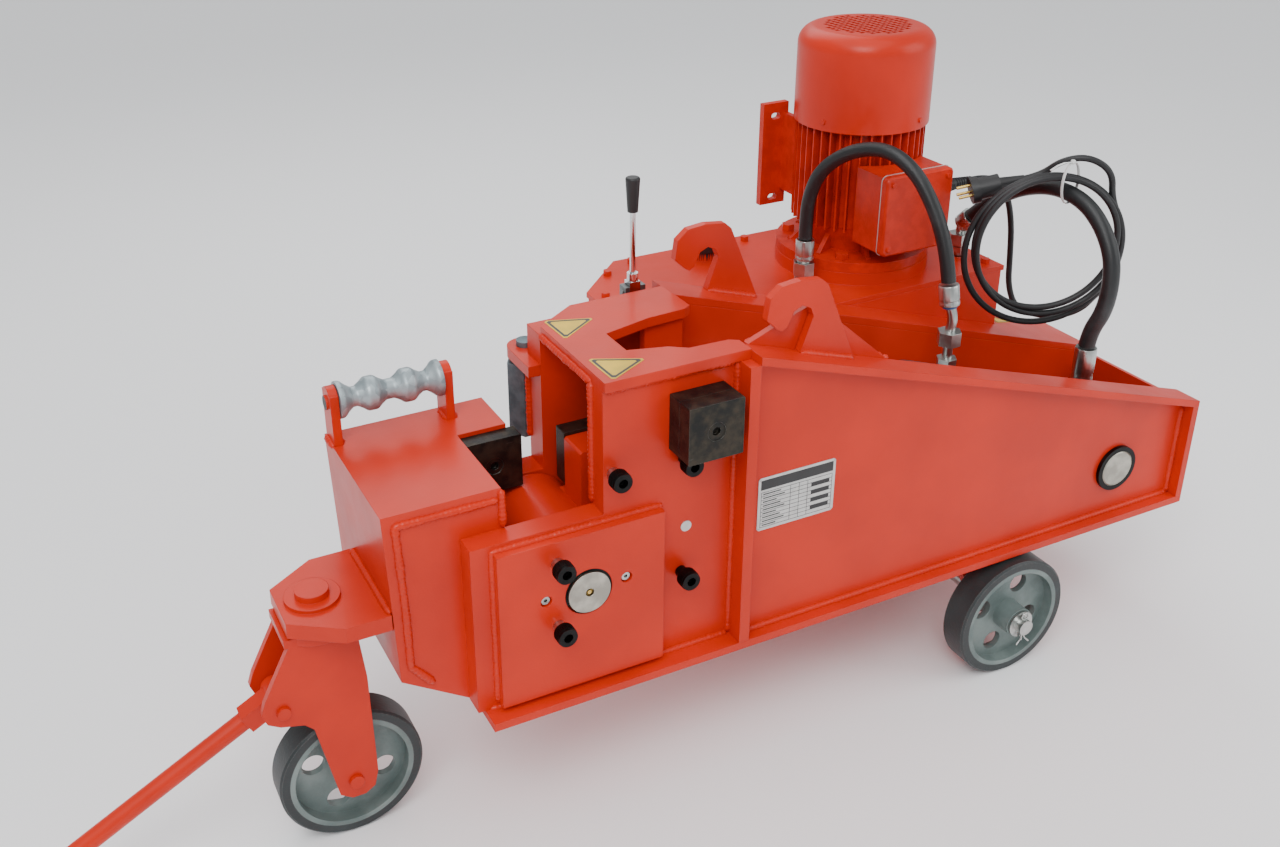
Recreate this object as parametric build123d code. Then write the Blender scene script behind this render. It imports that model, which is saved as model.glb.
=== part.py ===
from build123d import *
from math import asin, atan2, cos, degrees, hypot, pi, radians, sin, tan
import os

os.makedirs("parts", exist_ok=True)

# Hydraulic rebar cutter on wheels, in millimetres.
# Working frame: +X to the rear (cylinder end), +Y to the oil tank side, +Z up.
# X = 0 is the rear face of the body rib, Y = 0 the outer edge of the near flange,
# Z = 0 the underside of the base plate. The last section moves everything so that
# the origin is the middle of the footprint, on the ground.

# ---- driving dimensions ------------------------------------------------------
width = 340.0              # base plate, across
base_t = 12.0
nose_x = -384.0            # front edge of the base plate
rear_x = 830.0
rib_h = 450.0              # height at the rib
rear_h = 185.0             # height at the rear plate
sheet_t = 14.0             # side walls of the rear body
flange_t = 12.0
rib_t = 16.0
recess = 20.0              # wall set back from the flange edge
inner_w = 193.0            # clear width between the side walls
near_flange_w = 46.0
far_flange_w = 59.0

wheel_r = 100.0            # all three wheels
wheel_gap = 4.0            # rear tyre to base plate
tyre_w = 45.0
tyre_t = 14.0

run_c = 0.05               # radial running clearance of shafts
gap = 0.5                  # clearance between bodies
fit_c = 0.02               # radial clearance of a pressed or screwed fit

# shear frame (the thick plates round the jaw)
col_t = 32.0               # near plate
far_col_t = 42.0           # far plate
col_near_y = 30.0
col_far_y = 215.0
col_front_x = -210.0
low_front_x = -394.0
low_top_z = 262.0
block_rear_x = -336.0
top_plate_t = 14.0
cheek_t = 16.0

# pivot and lever
pivot_x, pivot_z = -240.0, 164.0
pivot_r = 30.0
hub_r = 68.0
bush_t = 6.0
jaw_y0, jaw_y1 = 110.0, 160.0
blade = 80.0               # square blades
blade_t = 25.0
shear_y = 186.0            # plane between the two blades
blade_z = 234.0            # underside of both blades
throat = 51.0              # gap between the blade edges, jaw open
fixed_edge_x = -254.0

# cylinder
mid_y = 135.0              # lever, cylinder and caster plane
rear_pin_x, rear_pin_z = 688.0, 93.0
rear_pin_r = 30.0
rod_pin_x, rod_pin_z = -100.0, 362.0
rod_pin_r = 20.0
rod_r = 30.0
bore_r = 52.0
barrel_r = 66.0
collar_r = 90.0
eye_w = 48.0
ear_t = 16.0
pin_play = 4.0             # radial play of the opened pivot in the lever ears

# tank and motor
tank_x0, tank_x1 = 10.0, 660.0
tank_y1 = 603.0
tank_z0, tank_z1 = 110.0, 337.0
tank_wall = 4.0
tank_corner = 100.0
lid_t = 8.0
motor_x, motor_y = 466.0, 437.0
motor_flange_r = 125.0
cowl_r = 107.0
motor_core_r = 84.0
fin_r = 103.0
fin_n = 40
cowl_z0, cowl_z1 = 588.0, 737.0

# caster
king_x, king_y = -567.0, 145.0
caster_z = 178.0           # top of the caster plate
caster_t = 22.0
axle_front_x = -545.0
fork_in = 27.5             # half the gap between the fork plates
fork_t = 10.0
tow_x, tow_z = -628.0, 44.0
tow_len = 510.0
tow_r = 12.5

ground_z = -(wheel_gap + 2 * wheel_r)
axle_z = ground_z + wheel_r
tow_tilt = degrees(asin((tow_z - ground_z - tow_r - 0.5) / (tow_len - tow_r)))
wall_near = (recess, recess + sheet_t)
wall_far = (wall_near[1] + inner_w, wall_near[1] + inner_w + sheet_t)
far_edge = wall_far[0] + far_flange_w
cyl_tilt = degrees(atan2(rod_pin_z - rear_pin_z, rear_pin_x - rod_pin_x))
cyl_len = hypot(rod_pin_x - rear_pin_x, rod_pin_z - rear_pin_z)

parts = {}


# ---- helpers -------------------------------------------------------------------
def block(x0, x1, y0, y1, z0, z1):
    """Box between two corners."""
    return Pos((x0 + x1) / 2, (y0 + y1) / 2, (z0 + z1) / 2) * Box(x1 - x0, y1 - y0, z1 - z0)


def rod_y(x, z, r, y0, y1):
    """Cylinder along Y."""
    return Pos(x, (y0 + y1) / 2, z) * Rot(90, 0, 0) * Cylinder(r, y1 - y0)


def rod_x(y, z, r, x0, x1):
    """Cylinder along X."""
    return Pos((x0 + x1) / 2, y, z) * Rot(0, 90, 0) * Cylinder(r, x1 - x0)


def rod_z(x, y, r, z0, z1):
    """Cylinder along Z."""
    return Pos(x, y, (z0 + z1) / 2) * Cylinder(r, z1 - z0)


def hex_z(x, y, flats, z0, z1):
    """Hexagonal bar along Z."""
    prism = extrude(RegularPolygon(flats / 2, 6, major_radius=False), z1 - z0)
    return Pos(x, y, z0) * prism


def side_plate(points, y0, y1):
    """Plate with an outline in X and Z, from y0 to y1."""
    outline = Polyline(*[(x, y0, z) for x, z in points], close=True)
    return extrude(make_face(outline), amount=y1 - y0, dir=(0, 1, 0))


def flat_plate(points, z0, z1):
    """Plate with an outline in X and Y, from z0 to z1."""
    outline = Polyline(*[(x, y, z0) for x, y in points], close=True)
    return extrude(make_face(outline), amount=z1 - z0, dir=(0, 0, 1))


def group(*solids):
    """Separate solids kept in one node."""
    return Compound(children=[s for piece in solids for s in piece.solids()])


def slope_z(x):
    """Top of the sloping flanges."""
    return rib_h - (rib_h - rear_h) * x / rear_x


def socket_head(x, z, y_head, head_r, head_l, shank_r, y_end):
    """Socket-head screw along Y, its head at the low-Y end."""
    head = rod_y(x, z, head_r, y_head, y_head + head_l)
    head -= rod_y(x, z, head_r * 0.5, y_head - 1, y_head + head_l * 0.55)
    return head + rod_y(x, z, shank_r, y_head + head_l, y_end)


def hose_path(points):
    """Straight runs joined by tangent arcs, as large as the runs allow."""
    radii = []
    for a, b, c in zip(points, points[1:], points[2:]):
        back, on = Vector(*b) - Vector(*a), Vector(*c) - Vector(*b)
        turn = radians(back.get_angle(on))
        radii.append(0.45 * min(back.length, on.length) / tan(turn / 2))
    return FilletPolyline(*points, radius=radii), radii


def tube(name, points, diameter):
    """Round tube along a route."""
    path, radii = hose_path(points)
    section = Plane(origin=path @ 0, z_dir=path % 0) * Circle(diameter / 2)
    solid = sweep(section, path=path)
    ratio = solid.volume / (pi * diameter ** 2 / 4 * path.length)
    print(name, "length", round(path.length), "volume ratio", round(ratio, 3),
          "radii", [round(r) for r in radii])
    return solid


# ---- rear body: base, walls, flanges and ribs ----------------------------------
parts["base_plate"] = block(nose_x, rear_x, 0, width, 0, base_t)

slope = [(0, slope_z(0) - flange_t), (rear_x - flange_t, slope_z(rear_x - flange_t) - flange_t)]
wall_outline = [(0, base_t), (rear_x - flange_t, base_t), slope[1], slope[0]]
rear_bore = rod_y(rear_pin_x, rear_pin_z, rear_pin_r + fit_c, 0, width)
walls = [side_plate(wall_outline, y0, y1) - rear_bore for y0, y1 in (wall_near, wall_far)]
rear_outline = [(rear_x - flange_t, base_t), (rear_x, base_t),
                (rear_x, slope_z(rear_x) - flange_t), slope[1]]
parts["body_walls"] = group(*walls, side_plate(rear_outline, 0, width))

top_outline = [(0, slope_z(0)), (rear_x, slope_z(rear_x)),
               (rear_x, slope_z(rear_x) - flange_t), slope[0]]
shelf_x = tank_x1 + 4
shelf_outline = [(shelf_x, slope_z(shelf_x)), (rear_x, slope_z(rear_x)),
                 (rear_x, slope_z(rear_x) - flange_t), (shelf_x, slope_z(shelf_x) - flange_t)]
near_flange = side_plate(top_outline, 0, near_flange_w)
far_flange = side_plate(top_outline, wall_far[0], far_edge)
far_flange += side_plate(shelf_outline, far_edge, width)
near_rib = block(-rib_t, 0, 0, col_near_y, base_t, rib_h - flange_t)
far_rib = block(-rib_t, 0, col_far_y + far_col_t, far_edge, base_t, rib_h - flange_t)
parts["frame_flanges"] = group(near_flange, far_flange, near_rib, far_rib)

# ---- shear frame -------------------------------------------------------------------
col_near = (col_near_y, col_near_y + col_t)
col_far = (col_far_y, col_far_y + far_col_t)
col_top = rib_h - flange_t
pivot_bore = rod_y(pivot_x, pivot_z, pivot_r + fit_c, 0, width)

# long side screws that guide the lever, and small lock screws, by X and Z
cheek_screws = [(-284, 221), (-284, 125)]
plate_screws = [(-197, 320), (-94, 315), (-95, 140)]
lock_screws = [(-300, 167), (-185, 168)]
plug_at = (-88, 209)
screw_r = 8.0
screw_head_r = 13.0
lock_r = 6.0
plug_r = 8.0

near_plate = side_plate([(low_front_x, base_t), (0, base_t), (0, col_top), (col_front_x, col_top),
                         (col_front_x, low_top_z), (low_front_x, low_top_z)], *col_near)
near_plate -= pivot_bore
for x, z in cheek_screws + plate_screws:
    near_plate -= rod_y(x, z, screw_r + fit_c, *col_near)
near_plate -= rod_y(*plug_at, plug_r + fit_c, col_near[0] - 1, col_near[0] + 12)
spare_x, spare_z = -76.0, 373.0
spare_bolt_r = 8.0
near_plate -= rod_y(spare_x, spare_z, spare_bolt_r + fit_c, *col_near)
parts["near_column_plate"] = near_plate

far_plate = side_plate([(block_rear_x, base_t), (0, base_t), (0, col_top), (col_front_x, col_top),
                        (col_front_x, blade_z - 2), (block_rear_x, blade_z - 2)], *col_far)
parts["far_column_plate"] = far_plate - pivot_bore

slot = [(-143, 95), (-91, 80), (-69, 64), (-12, 62)]
slot_back = [(-12, 173), (-71, 169), (-143, 151)]
top_outline_xy = [(col_front_x, 24), (0, 24), (0, slot[-1][1] - 8)] + slot[::-1]
top_outline_xy += slot_back[::-1] + [(0, 180), (0, col_far[1]), (-145, col_far[1]),
                                     (col_front_x, 212)]
web_y = jaw_y1 + ear_t + 2
guide_web = block(-71, -12, web_y, web_y + top_plate_t, 300, col_top)
top_plate = flat_plate(top_outline_xy, col_top, col_top + top_plate_t)
parts["column_top_plate"] = group(top_plate + guide_web)

cheek_y0 = col_near_y - cheek_t
cheek = block(-365, -129, cheek_y0, col_near_y, 20, 252)
ring_r = pivot_r + 3.5
cheek -= rod_y(pivot_x, pivot_z, ring_r, cheek_y0 - 1, col_near_y + 1)
for x, z in cheek_screws:
    cheek -= rod_y(x, z, screw_r + fit_c, cheek_y0 - 1, col_near_y + 1)
for x, z in lock_screws:
    cheek -= rod_y(x, z, lock_r + 2, cheek_y0 - 1, cheek_y0 + 6)
    cheek -= rod_y(x, z, lock_r + fit_c, cheek_y0 - 1, col_near_y + 1)
parts["cheek_plate"] = cheek

# ---- nose block and its fixed blade ---------------------------------------------
block_y0, block_y1 = col_near[1], 297.0
block_top = 320.0
seat_y = shear_y + blade_t
nose_side = [(-493, block_top), (block_rear_x, block_top), (block_rear_x, base_t),
             (nose_x - 8, base_t), (-484, 72)]
nose_body = side_plate(nose_side, block_y0, block_y1)
nose = nose_body
nose += block(block_rear_x - 1, -266, seat_y, block_y1, blade_z - 2, block_top)
nose += block(block_rear_x - 1, -304, shear_y + 1, seat_y + 1, 215, blade_z - 0.1)
blade_screw_r = 8.0
blade_mid = blade_z + blade / 2
nose -= rod_y(fixed_edge_x - blade / 2, blade_mid, blade_screw_r + fit_c, seat_y - 1, seat_y + 40)
parts["front_block"] = nose


def square_blade(x0, y0, head_y, tip_y):
    """Square blade with its countersunk screw, two solids."""
    x_mid = x0 + blade / 2
    plate = block(x0, x0 + blade, y0, y0 + blade_t, blade_z, blade_z + blade)
    plate = chamfer(plate.edges().filter_by(Axis.Y), 1.0)
    low, high = sorted((head_y, tip_y))
    plate -= rod_y(x_mid, blade_mid, blade_screw_r + fit_c, low - 1, high + 1)
    inward = 1 if tip_y > head_y else -1
    seat = sorted((head_y - inward, head_y + 11 * inward))
    plate -= rod_y(x_mid, blade_mid, 12.5, *seat)
    head = sorted((head_y + 1 * inward, head_y + 11 * inward))
    screw = rod_y(x_mid, blade_mid, 12.4, *head)
    shank = sorted((head_y + 11 * inward, tip_y))
    screw += rod_y(x_mid, blade_mid, blade_screw_r, *shank)
    key = sorted((head_y - 1 * inward, head_y + 7 * inward))
    screw -= rod_y(x_mid, blade_mid, 6, *key)
    return group(plate, screw)


parts["fixed_blade"] = square_blade(fixed_edge_x - blade, shear_y, shear_y, seat_y + 38)

# ---- cutting lever with its blade and bushes ---------------------------------------
jaw_x = fixed_edge_x + throat
hub_y0, hub_y1 = col_near[1] + 3 + gap, col_far[0] - 3 - gap
eye_r = 34.0
ear_r = 36.0
lever = rod_y(pivot_x, pivot_z, hub_r, hub_y0, hub_y1)
lever += side_plate([(jaw_x, 215), (jaw_x, blade_z + blade - 8), (jaw_x + 3, blade_z + blade - 5),
                     (-130, blade_z + blade - 5), (-119, 300), (-92, 250), (-140, 150),
                     (-190, 118)], jaw_y0, jaw_y1)
ear_outline = [(-205, 222), (-119, 228), (-119, 316), (rod_pin_x - ear_r, rod_pin_z),
               (rod_pin_x + ear_r, rod_pin_z), (rod_pin_x + ear_r, 310), (-140, 150), (-190, 120)]
for y0, y1 in ((jaw_y0 - ear_t, jaw_y0), (jaw_y1, jaw_y1 + ear_t)):
    ear = side_plate(ear_outline, y0, y1) + rod_y(rod_pin_x, rod_pin_z, ear_r, y0, y1)
    lever += ear
lever -= rod_y(rod_pin_x, rod_pin_z, rod_pin_r + pin_play, 0, width)
lever -= rod_y(pivot_x, pivot_z, pivot_r + bush_t + fit_c, 0, width)
moving_x = jaw_x
lever -= rod_y(moving_x + blade / 2, blade_mid, blade_screw_r + fit_c, jaw_y1 - 42, jaw_y1 + 1)
parts["cutting_lever"] = lever
blade_back = jaw_y1 + 0.5
moving = square_blade(moving_x, blade_back, blade_back + blade_t, jaw_y1 - 40)
parts["moving_blade"] = moving

bush_len = 60.0
washer_r = 50.0
bushes = []
for y0, y1 in ((hub_y0, hub_y0 + bush_len), (hub_y1 - bush_len, hub_y1)):
    ring = rod_y(pivot_x, pivot_z, pivot_r + bush_t, y0, y1)
    bushes.append(ring - rod_y(pivot_x, pivot_z, pivot_r + run_c, y0 - 1, y1 + 1))
parts["pivot_bushes"] = group(*bushes)

pin_y0, pin_y1 = cheek_y0 - 3, col_far[1] + 6
pin = rod_y(pivot_x, pivot_z, pivot_r, pin_y0, pin_y1)
groove_y = cheek_y0 + 0.5
groove_w = 3.0
for y in (groove_y, col_far[1] + 0.5):
    ring = rod_y(pivot_x, pivot_z, pivot_r + 1, y, y + groove_w)
    pin -= ring - rod_y(pivot_x, pivot_z, pivot_r - 2, y - 1, y + groove_w + 1)
pin -= rod_y(pivot_x, pivot_z, 6, pin_y0 - 1, pin_y0 + 8)
nipple = rod_y(pivot_x, pivot_z, 3, pin_y0 + 1, pin_y0 + 8)
parts["pivot_pin"] = group(pin, nipple)

retainers = []
for y in (groove_y, col_far[1] + 0.5):
    y0, y1 = y + 0.1, y + groove_w - 0.1
    ring = rod_y(pivot_x, pivot_z, ring_r - 0.3, y0, y1)
    for side in (-1, 1):
        angle = radians(215 + 14 * side)
        ring += rod_y(pivot_x + 31 * cos(angle), pivot_z + 31 * sin(angle), 4.5, y0, y1)
    ring -= rod_y(pivot_x, pivot_z, pivot_r - 2 + fit_c, y0 - 1, y1 + 1)
    ring -= Pos(pivot_x - 27, y0 + 1, pivot_z - 19) * Rot(0, 35, 0) * Box(22, 9, 6)
    if y == groove_y:
        ring = ring & rod_y(pivot_x, pivot_z, ring_r - 0.2, y0, y1)
    retainers.append(ring)
for y0, y1 in ((col_near[1], hub_y0 - gap), (hub_y1 + gap, col_far[0])):
    ring = rod_y(pivot_x, pivot_z, washer_r, y0, y1)
    retainers.append(ring - rod_y(pivot_x, pivot_z, pivot_r + fit_c, y0 - 1, y1 + 1))
parts["pivot_retainers"] = group(*retainers)

# ---- side screws, lock screws and plug ----------------------------------------------
screw_out = 30.0
screws = []
for places, face_y in ((cheek_screws, cheek_y0), (plate_screws, col_near[0])):
    for x, z in places:
        screws.append(socket_head(x, z, face_y - screw_out, screw_head_r, 17, screw_r,
                                  col_near[1] - 2))
for x, z in lock_screws:
    lock = rod_y(x, z, lock_r, cheek_y0 + 3, col_near_y)
    screws.append(lock - rod_y(x, z, 2.5, cheek_y0 + 2, cheek_y0 + 9))
screws.append(rod_y(*plug_at, plug_r, col_near[0] - 0.8, col_near[0] + 12))
parts["side_screws"] = group(*screws)

spares = []
for k in (0, 1):
    y1 = col_near_y - k * blade_t
    plate = block(spare_x - blade / 2, spare_x + blade / 2, y1 - blade_t, y1,
                  spare_z - blade / 2, spare_z + blade / 2)
    plate = chamfer(plate.edges().filter_by(Axis.Y), 1.0)
    spares.append(plate - rod_y(spare_x, spare_z, spare_bolt_r + fit_c, y1 - blade_t - 1, y1 + 1))
spare_y0 = col_near_y - 2 * blade_t
spares[1] -= rod_y(spare_x, spare_z, 13, spare_y0 - 1, spare_y0 + 10)
bolt = rod_y(spare_x, spare_z, 12.8, spare_y0 + 1, spare_y0 + 10)
bolt += rod_y(spare_x, spare_z, spare_bolt_r, spare_y0 + 10, col_near[1] - 4)
spares.append(bolt - rod_y(spare_x, spare_z, 6, spare_y0, spare_y0 + 7))
parts["spare_blades"] = group(*spares)

# ---- bar roller on the nose block ---------------------------------------------------
roller_y, roller_z = 274.0, 378.0
roller_x0, roller_x1 = -477.5, -334.5
bracket_t = 12.0
bracket_w = 36.0
roller_pin_r = 10.0
supports = []
for x0 in (roller_x0 - 1.5 - bracket_t, roller_x1 + 1.5):
    x1 = x0 + bracket_t
    plate = block(x0, x1, roller_y - bracket_w / 2, roller_y + bracket_w / 2,
                  block_top, roller_z + 14)
    plate += rod_x(roller_y, roller_z + 4, bracket_w / 2, x0, x1)
    supports.append(plate - rod_x(roller_y, roller_z, roller_pin_r + fit_c, x0 - 1, x1 + 1))
pin_x0 = roller_x0 - 1.5 - bracket_t - 3
pin_x1 = roller_x1 + 1.5 + bracket_t + 3
supports.append(rod_x(roller_y, roller_z, roller_pin_r, pin_x0, pin_x1))
parts["roller_supports"] = group(*supports)

end_r, ridge_r, groove_r = 25.0, 23.0, 13.5
roller_len = roller_x1 - roller_x0
half_profile = [(0, end_r), (4, end_r), (20, groove_r), (26, groove_r), (42, ridge_r),
                (50, ridge_r), (66, groove_r)]
scale_x = roller_len / 2 / 71.5
left = [(roller_x0 + s * scale_x, r) for s, r in half_profile]
right = [(roller_x1 - s * scale_x, r) for s, r in reversed(half_profile)]
profile = [(roller_x0, 0)] + left + right + [(roller_x1, 0)]
outline = Polyline(*[(x, roller_y, roller_z + r) for x, r in profile], close=True)
roller = revolve(make_face(outline), Axis((0, roller_y, roller_z), (1, 0, 0)))
roller -= rod_x(roller_y, roller_z, roller_pin_r + run_c, roller_x0 - 1, roller_x1 + 1)
parts["bar_roller"] = roller

# ---- bar hold-down -------------------------------------------------------------------
hold_x, hold_y = -203.0, 283.0
hold_r = 25.0
stem_r = 12.0
hold_z0, hold_z1 = 262.0, 372.0
arm_z0, arm_z1 = 378.0, 394.0
arm = rod_z(hold_x, hold_y, hold_r, arm_z0, arm_z1)
arm += block(hold_x - hold_r, hold_x + hold_r, col_far[1], hold_y, arm_z0, arm_z1)
arm += block(hold_x - hold_r, col_front_x, col_far[0], col_far[1] + 1, arm_z0, arm_z1)
parts["hold_down_arm"] = arm - rod_z(hold_x, hold_y, stem_r + run_c, arm_z0 - 1, arm_z1 + 1)
hold = hex_z(hold_x, hold_y, 48, hold_z0, hold_z1)
hold += rod_z(hold_x, hold_y, stem_r, hold_z1, arm_z1 + 8)
parts["hold_down_screw"] = hold

# ---- lifting hooks and gusset ----------------------------------------------------------
hook_t = 12.0
hook_arc = [(99, 23), (94, 35), (81, 42), (68, 36), (59, 16), (51, 11), (44, 15)]
hook_outer = [(27, 31), (31, 60), (48, 74), (77, 77), (109, 73), (119, 64)]
hook_line = [(x, rib_h + z) for x, z in hook_arc + hook_outer]
hook_x0, hook_x1 = 81.0, 169.0
hooks = []
for y0 in (near_flange_w - 1 - hook_t, far_edge - 6 - hook_t):
    outline = [(hook_x0, slope_z(hook_x0))] + hook_line
    outline.append((hook_x1, slope_z(hook_x1)))
    hooks.append(side_plate(outline, y0, y0 + hook_t))
gusset_t = 10.0
gusset = side_plate([(8, slope_z(8)), (110, 486), (236, slope_z(236)),
                     (236, slope_z(236) - flange_t), (8, slope_z(8) - flange_t)],
                    near_flange_w, near_flange_w + gusset_t)
parts["lifting_hooks"] = group(*hooks, gusset)

# ---- hydraulic cylinder, laid along its own axis ---------------------------------------
along = Pos(rear_pin_x, mid_y, rear_pin_z) * Rot(0, 180 + cyl_tilt, 0)


def on_axis(s0, s1, r):
    """Cylinder on the cylinder axis, s counted from the rear pin."""
    return Pos((s0 + s1) / 2, 0, 0) * Rot(0, 90, 0) * Cylinder(r, s1 - s0)


cap_s = 76.0
tube_s = 262.0
head_s = 368.0
rear_eye_w = 60.0
barrel = on_axis(28, tube_s, barrel_r) + Rot(90, 0, 0) * Cylinder(45, rear_eye_w)
barrel -= Rot(90, 0, 0) * Cylinder(rear_pin_r + run_c, rear_eye_w + 2)
barrel -= block(-60, 52, rear_eye_w / 2, 90, -90, 90)
barrel -= block(-60, 52, -90, -rear_eye_w / 2, -90, 90)
barrel -= on_axis(cap_s, tube_s + 1, bore_r)
parts["cylinder_barrel"] = along * barrel

head = on_axis(tube_s, head_s, collar_r)
head -= on_axis(tube_s - 1, tube_s + 20, bore_r)
head -= on_axis(tube_s, head_s + 1, rod_r + run_c)
head = chamfer(head.edges().filter_by(GeomType.CIRCLE).filter_by(
    lambda e: abs(e.radius - collar_r) < 0.1), 4)
head += on_axis(head_s, head_s + 8, rod_r + 12) - on_axis(head_s - 1, head_s + 9, rod_r + run_c)
parts["cylinder_head"] = along * head

piston_s = 84.0
piston_l = 40.0
rod_end_s = cyl_len - 75
rod_eye = Pos(cyl_len, 0, 0) * Rot(90, 0, 0) * Cylinder(eye_r, eye_w)
neck = block(rod_end_s, cyl_len, -eye_w / 2, eye_w / 2, -22, 22)
rod = on_axis(piston_s + piston_l, rod_end_s, rod_r) + neck + rod_eye
rod -= Pos(cyl_len, 0, 0) * Rot(90, 0, 0) * Cylinder(rod_pin_r + fit_c, eye_w + 2)
piston = on_axis(piston_s, piston_s + piston_l, bore_r - run_c)
rod_pin = Pos(cyl_len, 0, 0) * Rot(90, 0, 0) * Cylinder(rod_pin_r, eye_w + 2 * ear_t + 6)
parts["piston_rod"] = along * group(rod, piston, rod_pin)

pin = rod_y(rear_pin_x, rear_pin_z, rear_pin_r, wall_near[0] - 7, wall_far[1] + 7)
pin = chamfer(pin.edges().filter_by(GeomType.CIRCLE), 2)
collars = []
for y0, y1 in ((wall_near[0] - 6, wall_near[0]), (wall_far[1], wall_far[1] + 6),
               (wall_near[1], mid_y - rear_eye_w / 2 - gap),
               (mid_y + rear_eye_w / 2 + gap, wall_far[0])):
    outer = rear_pin_r + (8 if y1 - y0 < 10 else 7)
    ring = rod_y(rear_pin_x, rear_pin_z, outer, y0, y1)
    collars.append(ring - rod_y(rear_pin_x, rear_pin_z, rear_pin_r + fit_c, y0 - 1, y1 + 1))
parts["rear_pin"] = group(pin, *collars)

# ---- oil tank, lid and power pack ------------------------------------------------------
tank_y0 = far_edge
lid_z = tank_z1 + lid_t


def tank_outline(grow):
    """Plan of the tank with its cut front corner."""
    x0, x1 = tank_x0 - grow, tank_x1 + grow
    y0, y1 = tank_y0 - grow, tank_y1 + grow
    return [(x0, y0), (x1, y0), (x1, y1), (x0 + tank_corner, y1), (x0, y1 - tank_corner)]


tank = flat_plate(tank_outline(0), tank_z0, tank_z1)
tank -= flat_plate(tank_outline(-tank_wall), tank_z0 + tank_wall, tank_z1 + 1)
feet = [block(x, x + 40, tank_y0 + 10, width, base_t, tank_z0) for x in (60, 560)]
parts["oil_tank"] = group(tank, *feet)

lid_lip = 6.0
lid_plan = [(tank_x0 - lid_lip, tank_y0 + 0.2), (tank_x1 + lid_lip, tank_y0 + 0.2),
            (tank_x1 + lid_lip, tank_y1 + lid_lip), (tank_x0 - lid_lip + tank_corner,
                                                     tank_y1 + lid_lip),
            (tank_x0 - lid_lip, tank_y1 + lid_lip - tank_corner)]
lid = flat_plate(lid_plan, tank_z1, lid_z)
lid -= rod_z(motor_x, motor_y, 60, tank_z1 - 1, lid_z + 1)
port_a = (322.0, 368.0)
port_b = (631.0, 360.0)
for x, y in (port_a, port_b):
    lid -= rod_z(x, y, 11, tank_z1 - 1, lid_z + 1)
lid_bolt_at = [(24, tank_y0 + 40), (24, 480), (68, 560), (128, 588), (240, 588), (352, 588),
               (464, 588), (576, 588), (642, 560), (642, 440), (646, tank_y0 + 24)]
lid_bolt_r = 4.0
for x, y in lid_bolt_at:
    lid -= rod_z(x, y, lid_bolt_r + 0.2, tank_z1 - 1, lid_z + 1)
adapter_z1 = lid_z + 21
adapter = rod_z(motor_x, motor_y, motor_flange_r + 1, lid_z, adapter_z1)
adapter -= rod_z(motor_x, motor_y, 60, lid_z - 1, adapter_z1 + 1)
breather_at = (250.0, 552.0)
breather = rod_z(*breather_at, 22, lid_z, lid_z + 16) + rod_z(*breather_at, 26, lid_z + 16,
                                                              lid_z + 34)
parts["tank_lid"] = group(lid, adapter, breather)

bolts = []
for x, y in lid_bolt_at:
    bolts.append(hex_z(x, y, 13, lid_z, lid_z + 8) + rod_z(x, y, lid_bolt_r, tank_z1 + 1, lid_z))
flange_z0 = adapter_z1
flange_z1 = flange_z0 + 17
bolt_pcd_r = 107.5
for k in range(4):
    a = radians(45 + 90 * k)
    x, y = motor_x + bolt_pcd_r * cos(a), motor_y + bolt_pcd_r * sin(a)
    bolts.append(hex_z(x, y, 19, flange_z1, flange_z1 + 11))
parts["pack_bolts"] = group(*bolts)

shield = rod_z(motor_x, motor_y, motor_flange_r, flange_z0, flange_z1)
shield += Pos(motor_x, motor_y, (flange_z1 + 425) / 2) * Cone(70, 82, 425 - flange_z1)
for k in range(8):
    rib = block(60, 108, -4, 4, flange_z1 - 1, 410) - Pos(112, 0, 418) * Rot(0, 45, 0) * Box(
        40, 20, 60)
    shield += Pos(motor_x, motor_y, 0) * Rot(0, 0, 22.5 + 45 * k) * rib
shield -= rod_z(motor_x, motor_y, 17, flange_z0 - 1, 426)
parts["motor_end_shield"] = shield

housing_z0, housing_z1 = 425.0, cowl_z0 + 16
housing = Circle(motor_core_r)
fin = Pos((motor_core_r + fin_r) / 2 - 1, 0) * Rectangle(fin_r - motor_core_r + 2, 2.8)
for k in range(fin_n):
    housing += Rot(0, 0, 360 / fin_n * k) * fin
housing -= Circle(50)
housing = extrude(Pos(motor_x, motor_y, housing_z0) * housing, housing_z1 - housing_z0)
parts["motor_housing"] = housing

foot_h = 112.0             # shaft height of the foot-mounted frame
foot_a = 190.0             # across the foot holes
foot_b = 140.0             # along the foot holes
foot_y = motor_y + foot_h
foot_z = cowl_z0 - 10 - foot_b
feet = []
for side in (-1, 1):
    x_hole = motor_x + side * foot_a / 2
    x_in, x_out = x_hole - side * 24, x_hole + side * 24
    sole = block(min(x_in, x_out), max(x_in, x_out), foot_y - 12, foot_y, 426, 600)
    web = block(min(x_in, x_in + side * 10), max(x_in, x_in + side * 10),
                motor_y + fin_r * 0.62, foot_y, 450, 582)
    foot = sole + web
    for z in (foot_z, foot_z + foot_b):
        foot -= Pos(x_hole, foot_y, z) * Rot(90, 0, 0) * extrude(SlotOverall(18, 11), 20, both=True)
    feet.append(foot - rod_z(motor_x, motor_y, fin_r + fit_c, 400, 700))
parts["motor_feet"] = group(*feet)

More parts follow.
